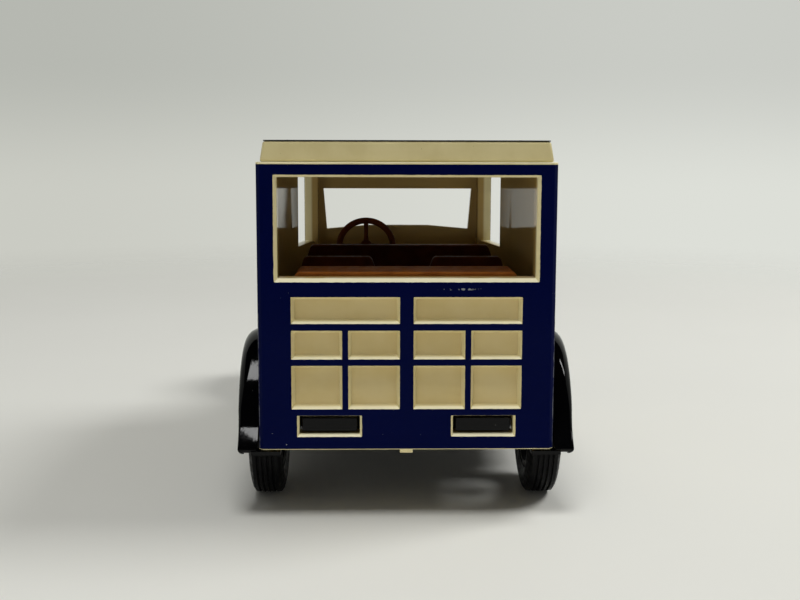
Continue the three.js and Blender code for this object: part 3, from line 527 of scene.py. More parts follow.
def body_paint():
    """Cream all over, with navy on the raised outer faces."""
    recipe = Recipe("body_paint", Specular_IOR_Level=PAINT_GLOSS)
    x, station, z = body_place(recipe)
    depth = outer_depth(recipe, x, station)
    reach = recipe.patches(size=0.6, detail=2.0, seed=1.0, values=[edge * MM for edge in NAVY_REACH])
    skin = recipe.math("LESS_THAN", depth, reach)
    under_roof = recipe.math("LESS_THAN", z, (BODY_TOP - CREAM_UNDER_ROOF) * MM)
    over_foot = recipe.math("GREATER_THAN", z, (BODY_BOTTOM + CREAM_AT_FOOT) * MM)
    painted = recipe.chain("MULTIPLY", skin, under_roof, over_foot)
    # Real scuffs under the window, and the painted highlight down the rear corners
    wear_and_highlight = recipe.math("MAXIMUM", scuff(recipe, x, z), corner_highlight_lines(recipe, x, station, z))
    navy = recipe.mix(wear_and_highlight, navy_tone(recipe), BARE_AND_HIGHLIGHT)
    recipe.set("Base Color", recipe.mix(painted, body_cream(recipe, depth), navy))
    paint_skin(recipe)
    return recipe.material


def navy_paint():
    recipe = Recipe("navy_paint", Specular_IOR_Level=PAINT_GLOSS)
    recipe.set("Base Color", navy_tone(recipe))
    paint_skin(recipe)
    return recipe.material


# Colours of the other materials, each with its second tone
# Painted shade: the roof's cream is a darker copy of the body's cream
ROOF_SHADED_CREAM = colour(214, 201, 152)
ROOF_SHADED_CREAM_TONE = colour(206, 192, 142)
ROOF_SPECK = colour(70, 60, 40)
GRAIN_BLACK = colour(12, 12, 14)
GRAIN_GREY = colour(30, 29, 30)
GLOSS_BLACK = colour(2, 2, 3)
GLOSS_BLACK_PALE = colour(5, 5, 6)
GLOSS_DUST = colour(120, 120, 118)
BROWN = colour(92, 44, 14)
BROWN_SHADE = colour(76, 34, 10)
# Painted light: a paler copy of the seat brown for the rear bench
PAINTED_LIGHT_BROWN = colour(178, 106, 42)
PAINTED_LIGHT_BROWN_TONE = colour(154, 86, 32)
SILVER = colour(226, 226, 228)
SILVER_SHADE = colour(205, 206, 210)
STEEL = colour(176, 176, 178)
STEEL_SHADE = colour(146, 146, 149)
WHEEL_BLACK = colour(12, 12, 13)
WHEEL_BLACK_PALE = colour(20, 20, 21)
TYRE_BLACK = colour(4, 4, 5)
TYRE_BLACK_PALE = colour(10, 10, 11)
TYRE_DUST = colour(130, 130, 128)
CLEAR = colour(246, 248, 248)
CLEAR_SHADE = colour(236, 240, 241)
GRILLE = colour(30, 31, 33)
GRILLE_PALE = colour(46, 47, 49)
MOULDED_BAND = (0.35, 0.7)


def cream_paint():
    """Roof paint in soft patches with a few dark specks, a darker copy of the body's cream as painted shade.
    """
    recipe = Recipe("cream_paint", Specular_IOR_Level=PAINT_GLOSS)
    shade = recipe.patches(size=4.0, detail=4.0, seed=1.0, band=CREAM_BAND)
    specks = recipe.patches(size=0.3, detail=1.0, seed=2.0, band=(0.77, 0.82))
    recipe.set("Base Color", recipe.mix(specks, recipe.mix(shade, ROOF_SHADED_CREAM, ROOF_SHADED_CREAM_TONE), ROOF_SPECK))
    recipe.roughen(least=0.32, most=0.45, size=1.5, detail=3.0, seed=3.0)
    recipe.bump(depth=0.008, size=0.8, detail=2.0, seed=4.0)
    return recipe.material


def roof_texture():
    recipe = Recipe("roof_texture", Specular_IOR_Level=0.15)
    recipe.two_tone(GRAIN_BLACK, GRAIN_GREY, size=0.45, detail=3.0, band=MOULDED_BAND)
    recipe.roughen(least=0.6, most=0.85, size=0.7, detail=2.0)
    recipe.bump(depth=0.03, size=0.22, detail=2.0)
    return recipe.material


def black_paint():
    """Deep gloss with a slight orange-peel skin and a little dust."""
    recipe = Recipe("black_paint", Specular_IOR_Level=0.16)
    black = recipe.mix(recipe.noise(size=6.0, detail=2.0, seed=2.0), GLOSS_BLACK, GLOSS_BLACK_PALE)
    dust = recipe.patches(size=0.3, detail=0.0, seed=1.0, band=(0.84, 0.87))
    recipe.set("Base Color", recipe.mix(dust, black, GLOSS_DUST))
    recipe.roughen(least=0.06, most=0.1, size=1.2, detail=3.0, seed=3.0)
    recipe.bump(depth=0.006, size=0.35, detail=2.0, seed=4.0)
    return recipe.material


def brown_plastic(name, light, dark):
    """Moulded brown with a slow change of tone and a fine grain."""
    recipe = Recipe(name, Specular_IOR_Level=0.05)
    recipe.two_tone(light, dark, size=3.0, detail=4.0, band=MOULDED_BAND)
    recipe.roughen(least=0.45, most=0.6, size=0.8, detail=3.0)
    recipe.bump(depth=0.008, size=0.3, detail=2.0)
    return recipe.material


def plating():
    recipe = Recipe("plating", Metallic=1.0)
    recipe.two_tone(SILVER, SILVER_SHADE, size=2.0, detail=3.0)
    recipe.roughen(least=0.08, most=0.2, size=0.8, detail=4.0, band=(0.3, 0.75))
    recipe.bump(depth=0.008, size=1.2, detail=2.0)
    return recipe.material


def steel():
    recipe = Recipe("steel", Metallic=1.0)
    recipe.two_tone(STEEL, STEEL_SHADE, size=0.4, detail=4.0)
    recipe.roughen(least=0.28, most=0.42, size=0.3, detail=3.0)
    recipe.bump(depth=0.004, size=0.15, detail=2.0)
    return recipe.material


def wheel_black():
    """Moulded satin black."""
    recipe = Recipe("wheel_black", Specular_IOR_Level=0.2)
    recipe.two_tone(WHEEL_BLACK, WHEEL_BLACK_PALE, size=2.0, detail=3.0, band=MOULDED_BAND)
    recipe.roughen(least=0.3, most=0.42, size=0.6, detail=3.0)
    recipe.bump(depth=0.006, size=0.3, detail=2.0)
    return recipe.material


def tyre_black():
    """Moulded black with a little pale dust."""
    recipe = Recipe("tyre_black", Specular_IOR_Level=0.12)
    black = recipe.mix(recipe.noise(size=1.5, detail=3.0, seed=2.0), TYRE_BLACK, TYRE_BLACK_PALE)
    dust = recipe.patches(size=0.28, detail=1.0, seed=1.0, band=(0.76, 0.84), values=(0.0, 0.4))
    recipe.set("Base Color", recipe.mix(dust, black, TYRE_DUST))
    recipe.roughen(least=0.35, most=0.55, size=0.6, detail=3.0, seed=3.0)
    recipe.bump(depth=0.015, size=0.2, detail=3.0, seed=4.0)
    return recipe.material


def lens_glass():
    recipe = Recipe("lens_glass", Transmission_Weight=1.0, IOR=1.49)
    recipe.two_tone(CLEAR, CLEAR_SHADE, size=1.0, detail=2.0)
    recipe.roughen(least=0.02, most=0.07, size=0.5, detail=2.0)
    recipe.bump(depth=0.005, size=0.6, detail=1.0)
    return recipe.material


def grille_black():
    recipe = Recipe("grille_black", Specular_IOR_Level=0.5)
    recipe.two_tone(GRILLE, GRILLE_PALE, size=0.5, detail=3.0)
    recipe.roughen(least=0.35, most=0.55, size=0.4, detail=3.0)
    recipe.bump(depth=0.008, size=0.2, detail=2.0)
    return recipe.material


# Roof

ROOF_FALL = 0.45
COVER_THICKNESS = 0.15
COVER_CELL = 0.4
COVER_EDGE = 0.86
GRAIN_DEPTH = 0.36
GRAIN_MIDDLE = 0.5
FINE_GRAIN = 1.9
FINE_SHARE = 0.55
COARSE_GRAIN = 0.7
COARSE_SHARE = 0.25
COARSE_LAYER = 4.0


def roof_half_width(station):
    """Half the width of the body under the roof at a station."""
    return BODY_HALF_WIDTH - max(0.0, station - STRAIGHT_SIDE) * CABIN_SLOPE


def grain(x, station):
    """The height of the roof cover's grain, from 0 to 1."""
    fine = noise.noise(Vector((x * FINE_GRAIN, station * FINE_GRAIN, 0.0)))
    coarse = noise.noise(Vector((x * COARSE_GRAIN, station * COARSE_GRAIN, COARSE_LAYER)))
    return min(1.0, max(0.0, GRAIN_MIDDLE + FINE_SHARE * fine + COARSE_SHARE * coarse))


def grid_faces(rows, columns):
    """The faces of a grid of points, row after row, and the points round its border."""
    width = columns + 1
    faces = []
    for i in range(rows):
        for j in range(columns):
            corner = i * width + j
            faces.append((corner, corner + 1, corner + width + 1, corner + width))
    border = list(range(columns))
    border += [i * width + columns for i in range(rows)]
    border += [rows * width + j for j in range(columns, 0, -1)]
    border += [i * width for i in range(rows, 0, -1)]
    return faces, border


def roof_cover():
    """A thin grained sheet: a grid whose border turns down to the roof."""
    low, high = box_of("roof_cover")
    start, end = low.y - REAR, high.y - REAR
    inset = BODY_HALF_WIDTH - high.x

    def place(x, station, lift):
        fall = ROOF_FALL * (station - start) / CABIN_LENGTH
        return at(x, station, high.z - fall - COVER_THICKNESS * (1 - lift))

    rows = round((end - start) / COVER_CELL)
    columns = round(2 * high.x / COVER_CELL)
    points = []
    for i in range(rows + 1):
        station = between(start, end, i / rows)
        half = min(roof_half_width(station) - inset, high.x)
        for j in range(columns + 1):
            x = half * (2 * j / columns - 1)
            at_border = i in (0, rows) or j in (0, columns)
            lift = COVER_EDGE if at_border else 1 - GRAIN_DEPTH * (1 - grain(x, station))
            points.append(place(x, station, lift))
    faces, border = grid_faces(rows, columns)
    foot = len(points)
    points += [place(points[i].x, points[i].y - REAR, 0.0) for i in border]
    for i in range(len(border)):
        k = (i + 1) % len(border)
        faces.append((border[k], border[i], foot + i, foot + k))
    faces.append(tuple(reversed(range(foot, foot + len(border)))))
    return Shape(points, faces)


# Bonnet and radiator

BONNET_ROUNDNESS = 2.6
BONNET_ARCH_STEPS = 56
# Sections as half width, height of the shoulder and height of the crown
SCUTTLE_SECTION = (14.3, 24.0, 32.0)
BONNET_REAR_SECTION = (13.2, 23.4, 31.0)
BONNET_FRONT_SECTION = (8.4, 21.0, 28.0)
BONNET_RINGS = (0.0, 0.03, 0.25, 0.5, 0.75, 0.97, 1.0)
HINGE_BEAD = 0.22
HINGE_LIFT = 0.02
HINGE_INSET = 0.01
HINGE_STEPS = 12
# Hinge lines by name, at shares of the arch from the right
HINGES = {"top": 0.5, "right": 0.12, "left": 0.88}
LOUVRE_START = 2.6
LOUVRE_PITCH = 1.15
LOUVRE_COUNT = 10
LOUVRE_WIDTH = 0.75
LOUVRE_RISE = 0.3
LOUVRE_BOTTOM = 14.8
LOUVRE_HEIGHT = 6.5
LOUVRE_RAMP = 0.5
LOUVRE_ROOT = 0.15
LOUVRE_LIP = 0.2
LOUVRE_LIP_RISE = 0.75
LOUVRE_TUCK = 0.02


def arch_point(section, angle):
    """A point of a section's crown, as (x, height), at an angle from its right end."""
    half_width, shoulder, crown = section
    power = 2 / BONNET_ROUNDNESS
    across = math.copysign(abs(math.cos(angle)) ** power, math.cos(angle))
    return half_width * across, shoulder + (crown - shoulder) * math.sin(angle) ** power


def bonnet_ring(section, station, foot):
    """Upright sides under a rounded crown."""
    half_width = section[0]
    ring = [at(half_width, station, foot)]
    for i in range(BONNET_ARCH_STEPS + 1):
        x, z = arch_point(section, math.pi * i / BONNET_ARCH_STEPS)
        ring.append(at(x, station, z))
    ring.append(at(-half_width, station, foot))
    return ring


def scuttle():
    low, high = box_of("scuttle")
    rear = bonnet_ring(SCUTTLE_SECTION, low.y - REAR, low.z)
    front = bonnet_ring(BONNET_REAR_SECTION, high.y - REAR, low.z)
    return lofted([rear, front])


def bonnet_section(share):
    pairs = zip(BONNET_REAR_SECTION, BONNET_FRONT_SECTION)
    return [between(rear, front, share) for rear, front in pairs]


def louvre(station, surface, slope):
    """A pressed slot: a wedge that rises towards its open rear edge, with sloping ends."""
    front = surface - slope * LOUVRE_WIDTH
    ramp_end = LOUVRE_HEIGHT - LOUVRE_RAMP
    rings = []
    for z, share in ((0.0, 0.0), (LOUVRE_RAMP, 1.0), (ramp_end, 1.0), (LOUVRE_HEIGHT, 0.0)):
        rise = LOUVRE_RISE * share
        height = LOUVRE_BOTTOM + z
        rings.append(
            [
                at(surface - LOUVRE_ROOT, station, height),
                at(surface + rise, station, height),
                at(surface + rise * LOUVRE_LIP_RISE - slope * LOUVRE_LIP, station + LOUVRE_LIP, height),
                at(front - LOUVRE_TUCK, station + LOUVRE_WIDTH, height),
                at(front - LOUVRE_ROOT, station + LOUVRE_WIDTH, height),
            ]
        )
    return lofted(rings)


def bonnet():
    low, high = box_of("bonnet")
    start, length = low.y - REAR, high.y - low.y
    rings = []
    for share in BONNET_RINGS:
        rings.append(bonnet_ring(bonnet_section(share), start + length * share, low.z))
    whole = lofted(rings)
    slope = (BONNET_REAR_SECTION[0] - BONNET_FRONT_SECTION[0]) / length
    for i in range(LOUVRE_COUNT):
        along = LOUVRE_START + i * LOUVRE_PITCH
        side = louvre(start + along, bonnet_section(along / length)[0], slope)
        whole.add(side, side.mirrored())
    return whole


def hinge_line(angle):
    """A thin round bead along the bonnet at an angle of its arch."""
    low, high = box_of("bonnet")
    rings = []
    for i in range(HINGE_STEPS + 1):
        share = between(HINGE_INSET, 1 - HINGE_INSET, i / HINGE_STEPS)
        x, z = arch_point(bonnet_section(share), angle)
        centre = Vector((x, between(low.y, high.y, share), z + HINGE_LIFT))
        rings.append([centre + Vector((u, 0, v)) for u, v in circle(HINGE_BEAD)])
    return lofted(rings)


RADIATOR_RIM = 0.9
RADIATOR_SINK = 1.1
RADIATOR_EDGE = 0.35
# The rounded edge as shares of its width: inwards, back from the front and up from the foot
RADIATOR_EDGE_STEPS = ((0.0, 1.0, 0.0), (0.3, 0.3, 0.15), (1.0, 0.0, 0.6))
MOUTH_EDGE = 0.15
CORE_BAR = 0.2
CORE_PITCH = 0.62
CORE_BAR_DEPTH = 0.45
CORE_BAR_STEP = 0.06
CORE_CLEAR = 0.03
# The cap's neck as (height, radius), and its rim as (height, distance in from the radius)
CAP_NECK = ((0, 0), (0, 0.68), (0.12, 0.6), (0.5, 0.58), (0.58, 0.7))
CAP_RIM = ((0.62, 0.06), (0.7, 0.0), (0.98, 0.0), (1.08, 0.08))
CAP_DOME_HEIGHT = 0.34
CAP_DOME_RADIUS = 0.8
CAP_DOME_ANGLES = (0.3, 0.6, 0.9, 1.2)


def radiator_ring(inset, station, foot):
    half_width, shoulder, crown = BONNET_FRONT_SECTION
    return bonnet_ring((half_width - inset, shoulder, crown - inset), station, foot)


def radiator_shell():
    low, high = box_of("radiator_shell")
    rear, front = low.y - REAR, high.y - REAR
    mouth_foot = low.z + RADIATOR_RIM
    rings = [radiator_ring(0, rear, low.z)]
    for inset, back, lift in RADIATOR_EDGE_STEPS:
        foot = low.z + RADIATOR_EDGE * lift
        rings.append(radiator_ring(RADIATOR_EDGE * inset, front - RADIATOR_EDGE * back, foot))
    rings.append(radiator_ring(RADIATOR_RIM - MOUTH_EDGE, front, mouth_foot - MOUTH_EDGE))
    rings.append(radiator_ring(RADIATOR_RIM, front - MOUTH_EDGE, mouth_foot))
    rings.append(radiator_ring(RADIATOR_RIM, front - RADIATOR_SINK, mouth_foot))
    return lofted(rings)


def arch_share(share):
    """How far a rounded quarter reaches one way at a share of its reach the other way."""
    share = min(1.0, max(0.0, share))
    return (1 - share**BONNET_ROUNDNESS) ** (1 / BONNET_ROUNDNESS)


def radiator_core():
    """A dark plate behind a fine lattice of upright and level bars."""
    low, high = box_of("radiator_core")
    half_width, shoulder, crown = high.x, BONNET_FRONT_SECTION[1], high.z
    section = (half_width, shoulder, crown)
    plate_front = high.y - CORE_BAR_DEPTH
    half_bar = CORE_BAR / 2
    rear = bonnet_ring(section, low.y - REAR, low.z)
    front = bonnet_ring(section, plate_front - REAR, low.z)
    core = lofted([rear, front])
    columns = int(half_width / CORE_PITCH)
    for i in range(-columns, columns + 1):
        x = i * CORE_PITCH
        top = between(shoulder, crown, arch_share((abs(x) + half_bar) / half_width)) - CORE_CLEAR
        core.add(block((x - half_bar, plate_front, low.z), (x + half_bar, high.y, top)))
    bar_front = high.y - CORE_BAR_STEP
    for i in range(1, int((crown - low.z) / CORE_PITCH)):
        z = low.z + i * CORE_PITCH
        reach = half_width * arch_share((z + half_bar - shoulder) / (crown - shoulder)) - CORE_CLEAR
        core.add(block((-reach, plate_front, z - half_bar), (reach, bar_front, z + half_bar)))
    return core


def radiator_cap():
    low, high = box_of("radiator_cap")
    centre = Vector(((low.x + high.x) / 2, (low.y + high.y) / 2, low.z))
    radius, height = (high.x - low.x) / 2, high.z - low.z
    profile = [*CAP_NECK, *((z, radius - inset) for z, inset in CAP_RIM)]
    profile += dome(height - CAP_DOME_HEIGHT, CAP_DOME_HEIGHT, CAP_DOME_RADIUS, CAP_DOME_ANGLES)
    profile.append((height, 0.0))
    return turned(profile, centre, "upright", SMALL_STEPS)


# Wings and running boards

WING_LOW, WING_HIGH = box_of("rear_wing_right")
WING_INNER, WING_OUTER = WING_LOW.x, WING_HIGH.x
WING_HEM, WING_CROWN = WING_LOW.z, WING_HIGH.z
BOARD_LOW, BOARD_HIGH = box_of("running_board_right")
WING_SHEET = 0.7
WING_CROWN_RADIUS = 1.9
WING_TAIL_RADIUS = 0.05
WING_FLARE_RADIUS = 0.6
WING_FILLET = 0.1
WING_VALANCE = 3.1
WING_ROLL = 0.3
WING_TAIL_ROLL = 0.65
WING_TAIL_TAPER = 0.2
WING_LIP_DEPTH = 1.7
WING_LEAST_RISE = 0.1
SHOULDER_STEPS = 12
ROLL_STEPS = 6
FILLET_STEPS = 8
REAR_PANEL_CLEAR = 3.3
BODY_CLEAR = 0.3

# Points of the rear wing's path, as (station, height)
REAR_TAIL = Vector((REAR_AXLE - 12.8, WING_HEM + WING_SHEET))
REAR_WAIST = Vector((REAR_AXLE - 9.9, 13.0))
REAR_CROWN = Vector((REAR_AXLE, WING_CROWN))
REAR_FRONT = Vector((REAR_AXLE + 13.2, BOARD_HIGH.z))
REAR_LEAN = 81.0
REAR_TAIL_SLOPE = 36.0
REAR_BEND = 0.5
REAR_STEPS = 30
# How far a curve aims along each side to follow a quarter of an ellipse
QUARTER_AIM = 0.5523

# Points of the front wing's path, as (station, height), and how far its curves aim ahead
FRONT_TAIL = Vector((FRONT_AXLE - 19.5, BOARD_HIGH.z))
FRONT_CROWN = Vector((FRONT_AXLE, WING_CROWN))
FRONT_TIP = Vector((FRONT_AXLE + 11.8, 11.4))
FRONT_TAIL_AIM = 6.63
FRONT_CROWN_AIM_BACK = 10.53
FRONT_CROWN_AIM = 7.08
FRONT_TIP_BEND = 0.6
FRONT_STEPS = 45


def wing_section(inner, outer, radius, roll, drop):
    """The wing's sheet across its path: a flat top, a round shoulder and a rolled lower edge."""
    sheet = min(WING_SHEET, drop)
    radius = min(radius, drop - roll)
    inside = outer - sheet
    inside_radius = max(radius - sheet, WING_FILLET)
    outline = [(inner, 0.0)]
    outline += arc((outer - radius, -radius), radius, 90, 0, SHOULDER_STEPS)
    outline += arc((outer - roll, roll - drop), roll, 0, -90, ROLL_STEPS)
    outline += [(inside, -drop)]
    outline += arc((inside - inside_radius, -sheet - inside_radius), inside_radius, 0, 90, FILLET_STEPS)
    outline += [(inner, -sheet)]
    return outline


def wing_along(path, section_at):
    """The section carried along a path of (station, height), square to it and down to the hem."""
    rings = []
    for i, point in enumerate(path):
        ahead = path[min(i + 1, len(path) - 1)] - path[max(i - 1, 0)]
        tangent = ahead.normalized()
        normal = Vector((-tangent.y, tangent.x))
        drop = min(WING_VALANCE, (point.y - WING_HEM) / max(normal.y, WING_LEAST_RISE))
        ring = []
        for x, lift in wing_section(*section_at(point), drop):
            place = point + normal * lift
            ring.append(at(x, place.x, place.y))
        rings.append(ring)
    return lofted(rings)


def quarter_bend(start, end, steps):
    """Points of a quarter of an ellipse in side view, setting out level."""
    corner = Vector((end.x, start.y))
    return bezier(start, start.lerp(corner, QUARTER_AIM), end.lerp(corner, QUARTER_AIM), end, steps)


def upwards(degrees):
    """A direction in side view at an angle up from level."""
    return Vector((math.cos(math.radians(degrees)), math.sin(math.radians(degrees))))


def rear_wing_path():
    """A sloping tail, a leaning waist, the crown and a sweep down to the running board."""
    lean = upwards(REAR_LEAN)
    behind = REAR_TAIL + upwards(REAR_TAIL_SLOPE) * REAR_BEND * (REAR_WAIST.x - REAR_TAIL.x)
    below = REAR_WAIST - lean * REAR_BEND * (REAR_WAIST.y - REAR_TAIL.y)
    above = REAR_WAIST + lean * QUARTER_AIM * (REAR_CROWN.y - REAR_WAIST.y)
    level = Vector((between(REAR_CROWN.x, REAR_WAIST.x, QUARTER_AIM), REAR_CROWN.y))
    path = bezier(REAR_TAIL, behind, below, REAR_WAIST, REAR_STEPS)
    path += bezier(REAR_WAIST, above, level, REAR_CROWN, REAR_STEPS)
    path += quarter_bend(REAR_CROWN, REAR_FRONT, REAR_STEPS)
    return [*path, REAR_FRONT]


def rear_wing_section(point):
    """A blunt tail beside the body, then a flare, then the full crown."""
    inner = BODY_HALF_WIDTH + BODY_CLEAR if point.x < REAR_PANEL_CLEAR else WING_INNER
    rise = min(1.0, (point.y - REAR_TAIL.y) / (REAR_WAIST.y - REAR_TAIL.y))
    climb = 1.0
    if point.x < REAR_CROWN.x:
        climb = max(0.0, (point.y - REAR_WAIST.y) / (REAR_CROWN.y - REAR_WAIST.y))
    flare = between(WING_TAIL_RADIUS, WING_FLARE_RADIUS, rise)
    shoulder = flare + (WING_CROWN_RADIUS - WING_FLARE_RADIUS) * climb
    roll = between(WING_TAIL_ROLL, WING_ROLL, rise)
    return inner, WING_OUTER - WING_TAIL_TAPER * (1 - rise), shoulder, roll


def rear_wing():
    """The wing and a lip that reaches under the body at its tail."""
    low = at(WING_INNER, REAR_TAIL.x, WING_HEM)
    outer = BODY_HALF_WIDTH + BODY_CLEAR + WING_SHEET
    high = at(outer, REAR_TAIL.x + WING_LIP_DEPTH, BODY_BOTTOM - BODY_CLEAR)
    return wing_along(rear_wing_path(), rear_wing_section).add(block(low, high))


def front_wing():
    """A sweep up from the running board, the crown and a bend down to the tip."""
    ahead = FRONT_TAIL + Vector((FRONT_TAIL_AIM, 0))
    level_behind = FRONT_CROWN - Vector((FRONT_CROWN_AIM_BACK, 0))
    level_ahead = FRONT_CROWN + Vector((FRONT_CROWN_AIM, 0))
    over_tip = Vector((FRONT_TIP.x, between(FRONT_TIP.y, FRONT_CROWN.y, FRONT_TIP_BEND)))
    path = bezier(FRONT_TAIL, ahead, level_behind, FRONT_CROWN, FRONT_STEPS)
    path += bezier(FRONT_CROWN, level_ahead, over_tip, FRONT_TIP, FRONT_STEPS)
    path.append(FRONT_TIP)
    return wing_along(path, lambda point: (WING_INNER, WING_OUTER, WING_CROWN_RADIUS, WING_ROLL))


BOARD_INNER = 15.8
BOARD_RIBS = 7
RIB_HEIGHT = 0.22
RIB_HALF_WIDTH = 0.2
RIB_END = 0.5
RIB_ROOT = 0.1
TAB_LENGTH = 4.0
TAB_LAP = 0.2
TAB_RISE = 0.02
TAB_DROP = 0.05


def running_board():
    """A tread plate with long ribs, on three tabs that reach under the body."""
    low, high = BOARD_LOW, BOARD_HIGH
    tread = high.z - RIB_HEIGHT
    board = block((BOARD_INNER, low.y, low.z), (high.x, high.y, tread))
    pitch = (high.x - BOARD_INNER) / (BOARD_RIBS + 1)
    for i in range(BOARD_RIBS):
        x = BOARD_INNER + pitch * (i + 1)
        rib_low = (x - RIB_HALF_WIDTH, low.y + RIB_END, tread - RIB_ROOT)
        board.add(block(rib_low, (x + RIB_HALF_WIDTH, high.y - RIB_END, high.z)))
    for start in (low.y, (low.y + high.y - TAB_LENGTH) / 2, high.y - TAB_LENGTH):
        tab_high = (BOARD_INNER + TAB_LAP, start + TAB_LENGTH, tread - TAB_DROP)
        board.add(block((low.x, start, low.z + TAB_RISE), tab_high))
    return board


# Lamps and bumper

LAMP_RADIUS = 2.9
LAMP_RIM = 0.35
RIM_STEP = 0.1
RIM_ROUND = 0.12
BOWL_SHARE = 0.8
RIM_SHARE = 0.84
BOWL_POWER = 0.85
BOWL_STEPS = 15
DISH_FLOOR = 0.6
DISH_STEPS = 12
BULB = ((0.9, 0.5), (1.5, 0.52), (1.8, 0.3), (1.9, 0.0))
LENS_BACK = 0.05
LENS_EDGE = 0.35
LENS_STEPS = 10
FLUTE_DEPTH = 0.03
FLUTE_PITCH = 0.55
FLUTE_START = 0.36


def lamp_centre(node):
    """The middle of a lamp piece's rear end."""
    low, high = box_of(node)
    return Vector(((low.x + high.x) / 2, low.y, (low.z + high.z) / 2))


def lamp_bowl():
    """A deep bowl with a stepped rim, a dished inside and a bulb."""
    low, high = box_of("headlamp_bowl_right")
    depth = high.y - low.y
    bowl, dish_radius = depth * BOWL_SHARE, LAMP_RADIUS - LAMP_RIM
    profile = [(0.0, 0.0)]
    for i in range(1, BOWL_STEPS):
        angle = math.pi / 2 * i / BOWL_STEPS
        radius = LAMP_RADIUS * math.sin(angle) ** BOWL_POWER - RIM_STEP
        profile.append((bowl * (1 - math.cos(angle)), radius))
    profile += [(bowl, LAMP_RADIUS - RIM_STEP), (depth * RIM_SHARE, LAMP_RADIUS)]
    profile += [(depth - RIM_STEP, LAMP_RADIUS), (depth, LAMP_RADIUS - RIM_ROUND), (depth, dish_radius)]
    for i in range(DISH_STEPS):
        share = 1 - i / DISH_STEPS
        profile.append((between(DISH_FLOOR, depth - LAMP_RIM, share**2), dish_radius * share))
    profile += BULB
    return turned(profile, lamp_centre("headlamp_bowl_right"), "lengthwise", LAMP_STEPS)


def lamp_lens():
    """A shallow dome with upright flutes pressed into its face."""
    low, high = box_of("headlamp_lens_right")
    centre = lamp_centre("headlamp_lens_right")
    radius, depth = (high.x - low.x) / 2, high.y - low.y
    shares = [i / LENS_STEPS for i in range(LENS_STEPS + 1)]
    profile = [(LENS_BACK, radius * share) for share in shares]
    profile.append((LENS_EDGE, radius))
    profile += [(between(depth, LENS_EDGE, share**2), radius * share) for share in reversed(shares[:-1])]
    lens = turned(profile, centre, "lengthwise", LAMP_STEPS)
    for point in lens.points:
        if point.y > centre.y + FLUTE_START:
            point.y -= FLUTE_DEPTH * (1 - math.cos(math.tau * (point.x - centre.x) / FLUTE_PITCH))
    return lens


BAR_CHAMFER = 0.1
BAR_WAIST = 0.08
BAR_COLLAR = 0.8
BAR_COLLAR_EDGE = 0.7
STEM_WAIST = 0.15
STEM_FOOT = 0.25
STEM_NECK = 0.35
STEM_HEAD = 0.1
STEM_HEAD_EDGE = 0.02


def lamp_bar():
    """A round bar with a collar at each end and a stem up to each lamp."""
    low, high = box_of("lamp_bar")
    radius = (high.y - low.y) / 2
    centre = Vector((0, (low.y + high.y) / 2, low.z + radius))
    lamp_x = lamp_centre("headlamp_bowl_right").x
    collar, waist = (lamp_x + BAR_COLLAR, radius), (lamp_x + BAR_COLLAR_EDGE, radius - BAR_WAIST)
    end = [waist, collar, (high.x - BAR_CHAMFER, radius), (high.x, radius - BAR_CHAMFER), (high.x, 0)]
    bar = turned([(-along, r) for along, r in reversed(end)] + end, centre, "across", SMALL_STEPS)
    height, slim = high.z - centre.z, radius - STEM_WAIST
    stem = [(0, 0), (0, radius), (STEM_FOOT, radius), (STEM_NECK, slim), (height - STEM_HEAD, slim)]
    stem += [(height - STEM_HEAD_EDGE, radius), (height, radius), (height, 0)]
    for x in (-lamp_x, lamp_x):
        bar.add(turned(stem, centre + Vector((x, 0, 0)), "upright", SMALL_STEPS))
    return bar


BUMPER_SWEEP = 2.0
BUMPER_THICKNESS = 0.8
BUMPER_EDGE = 0.22
BUMPER_EDGE_STEPS = 4
BUMPER_STEPS = 48
IRON_OFFSET = 8.0
BOLT = ((-0.3, 0), (-0.3, 0.5), (0.0, 0.5), (0.12, 0.44), (0.22, 0.3), (0.27, 0.0))
BOLT_SINK = 0.12


def rounded_bar(thickness, height):
    """The section of a bar with rounded corners, about its middle."""
    section = []
    for side, end, turn in ((1, 1, 0), (-1, 1, 90), (-1, -1, 180), (1, -1, 270)):
        corner = (side * (thickness / 2 - BUMPER_EDGE), end * (height / 2 - BUMPER_EDGE))
        section += arc(corner, BUMPER_EDGE, turn, turn + 90, BUMPER_EDGE_STEPS)
    return section


def bumper_bar(node):
    """A bowed spring bar with rounded faces and a domed bolt at each iron."""
    low, high = box_of(node)
    half_width, middle = high.x, (low.z + high.z) / 2
    front = high.y - BUMPER_THICKNESS / 2
    section = rounded_bar(BUMPER_THICKNESS, high.z - low.z)
    rings = []
    for i in range(BUMPER_STEPS + 1):
        share = 2 * i / BUMPER_STEPS - 1
        centre = Vector((half_width * share, front - BUMPER_SWEEP * share**2, middle))
        across = Vector((2 * BUMPER_SWEEP * share / half_width, 1, 0)).normalized()
        rings.append([centre + across * u + Vector((0, 0, v)) for u, v in section])
    bar = lofted(rings)
    bolt_y = high.y - BUMPER_SWEEP * (IRON_OFFSET / half_width) ** 2 - BOLT_SINK
    for x in (-IRON_OFFSET, IRON_OFFSET):
        bar.add(turned(BOLT, Vector((x, bolt_y, middle)), "lengthwise", BOSS_STEPS))
    return bar


# Cab

STEERING_TILT = 24.0
STEERING_CENTRE = at(-5.2, 50.0, 29.2)
STEERING_RADIUS = 4.8
STEERING_RIM = 0.5
STEERING_RIM_POINTS = 24
STEERING_STEPS = 72
STEERING_HUB = (
    (-0.45, 0), (-0.45, 0.8), (-0.35, 0.9), (0.3, 0.9), (0.45, 0.72), (0.45, 0.35), (0.38, 0.2), (0.38, 0),
)
STEERING_SPOKES = 4
SPOKE_RINGS = (0.0, 0.35, 0.75, 1.0)
SPOKE_ROOT = 0.6
SPOKE_HALF_WIDTH = 0.46
SPOKE_WAIST = 0.16
SPOKE_HALF_DEPTH = 0.24


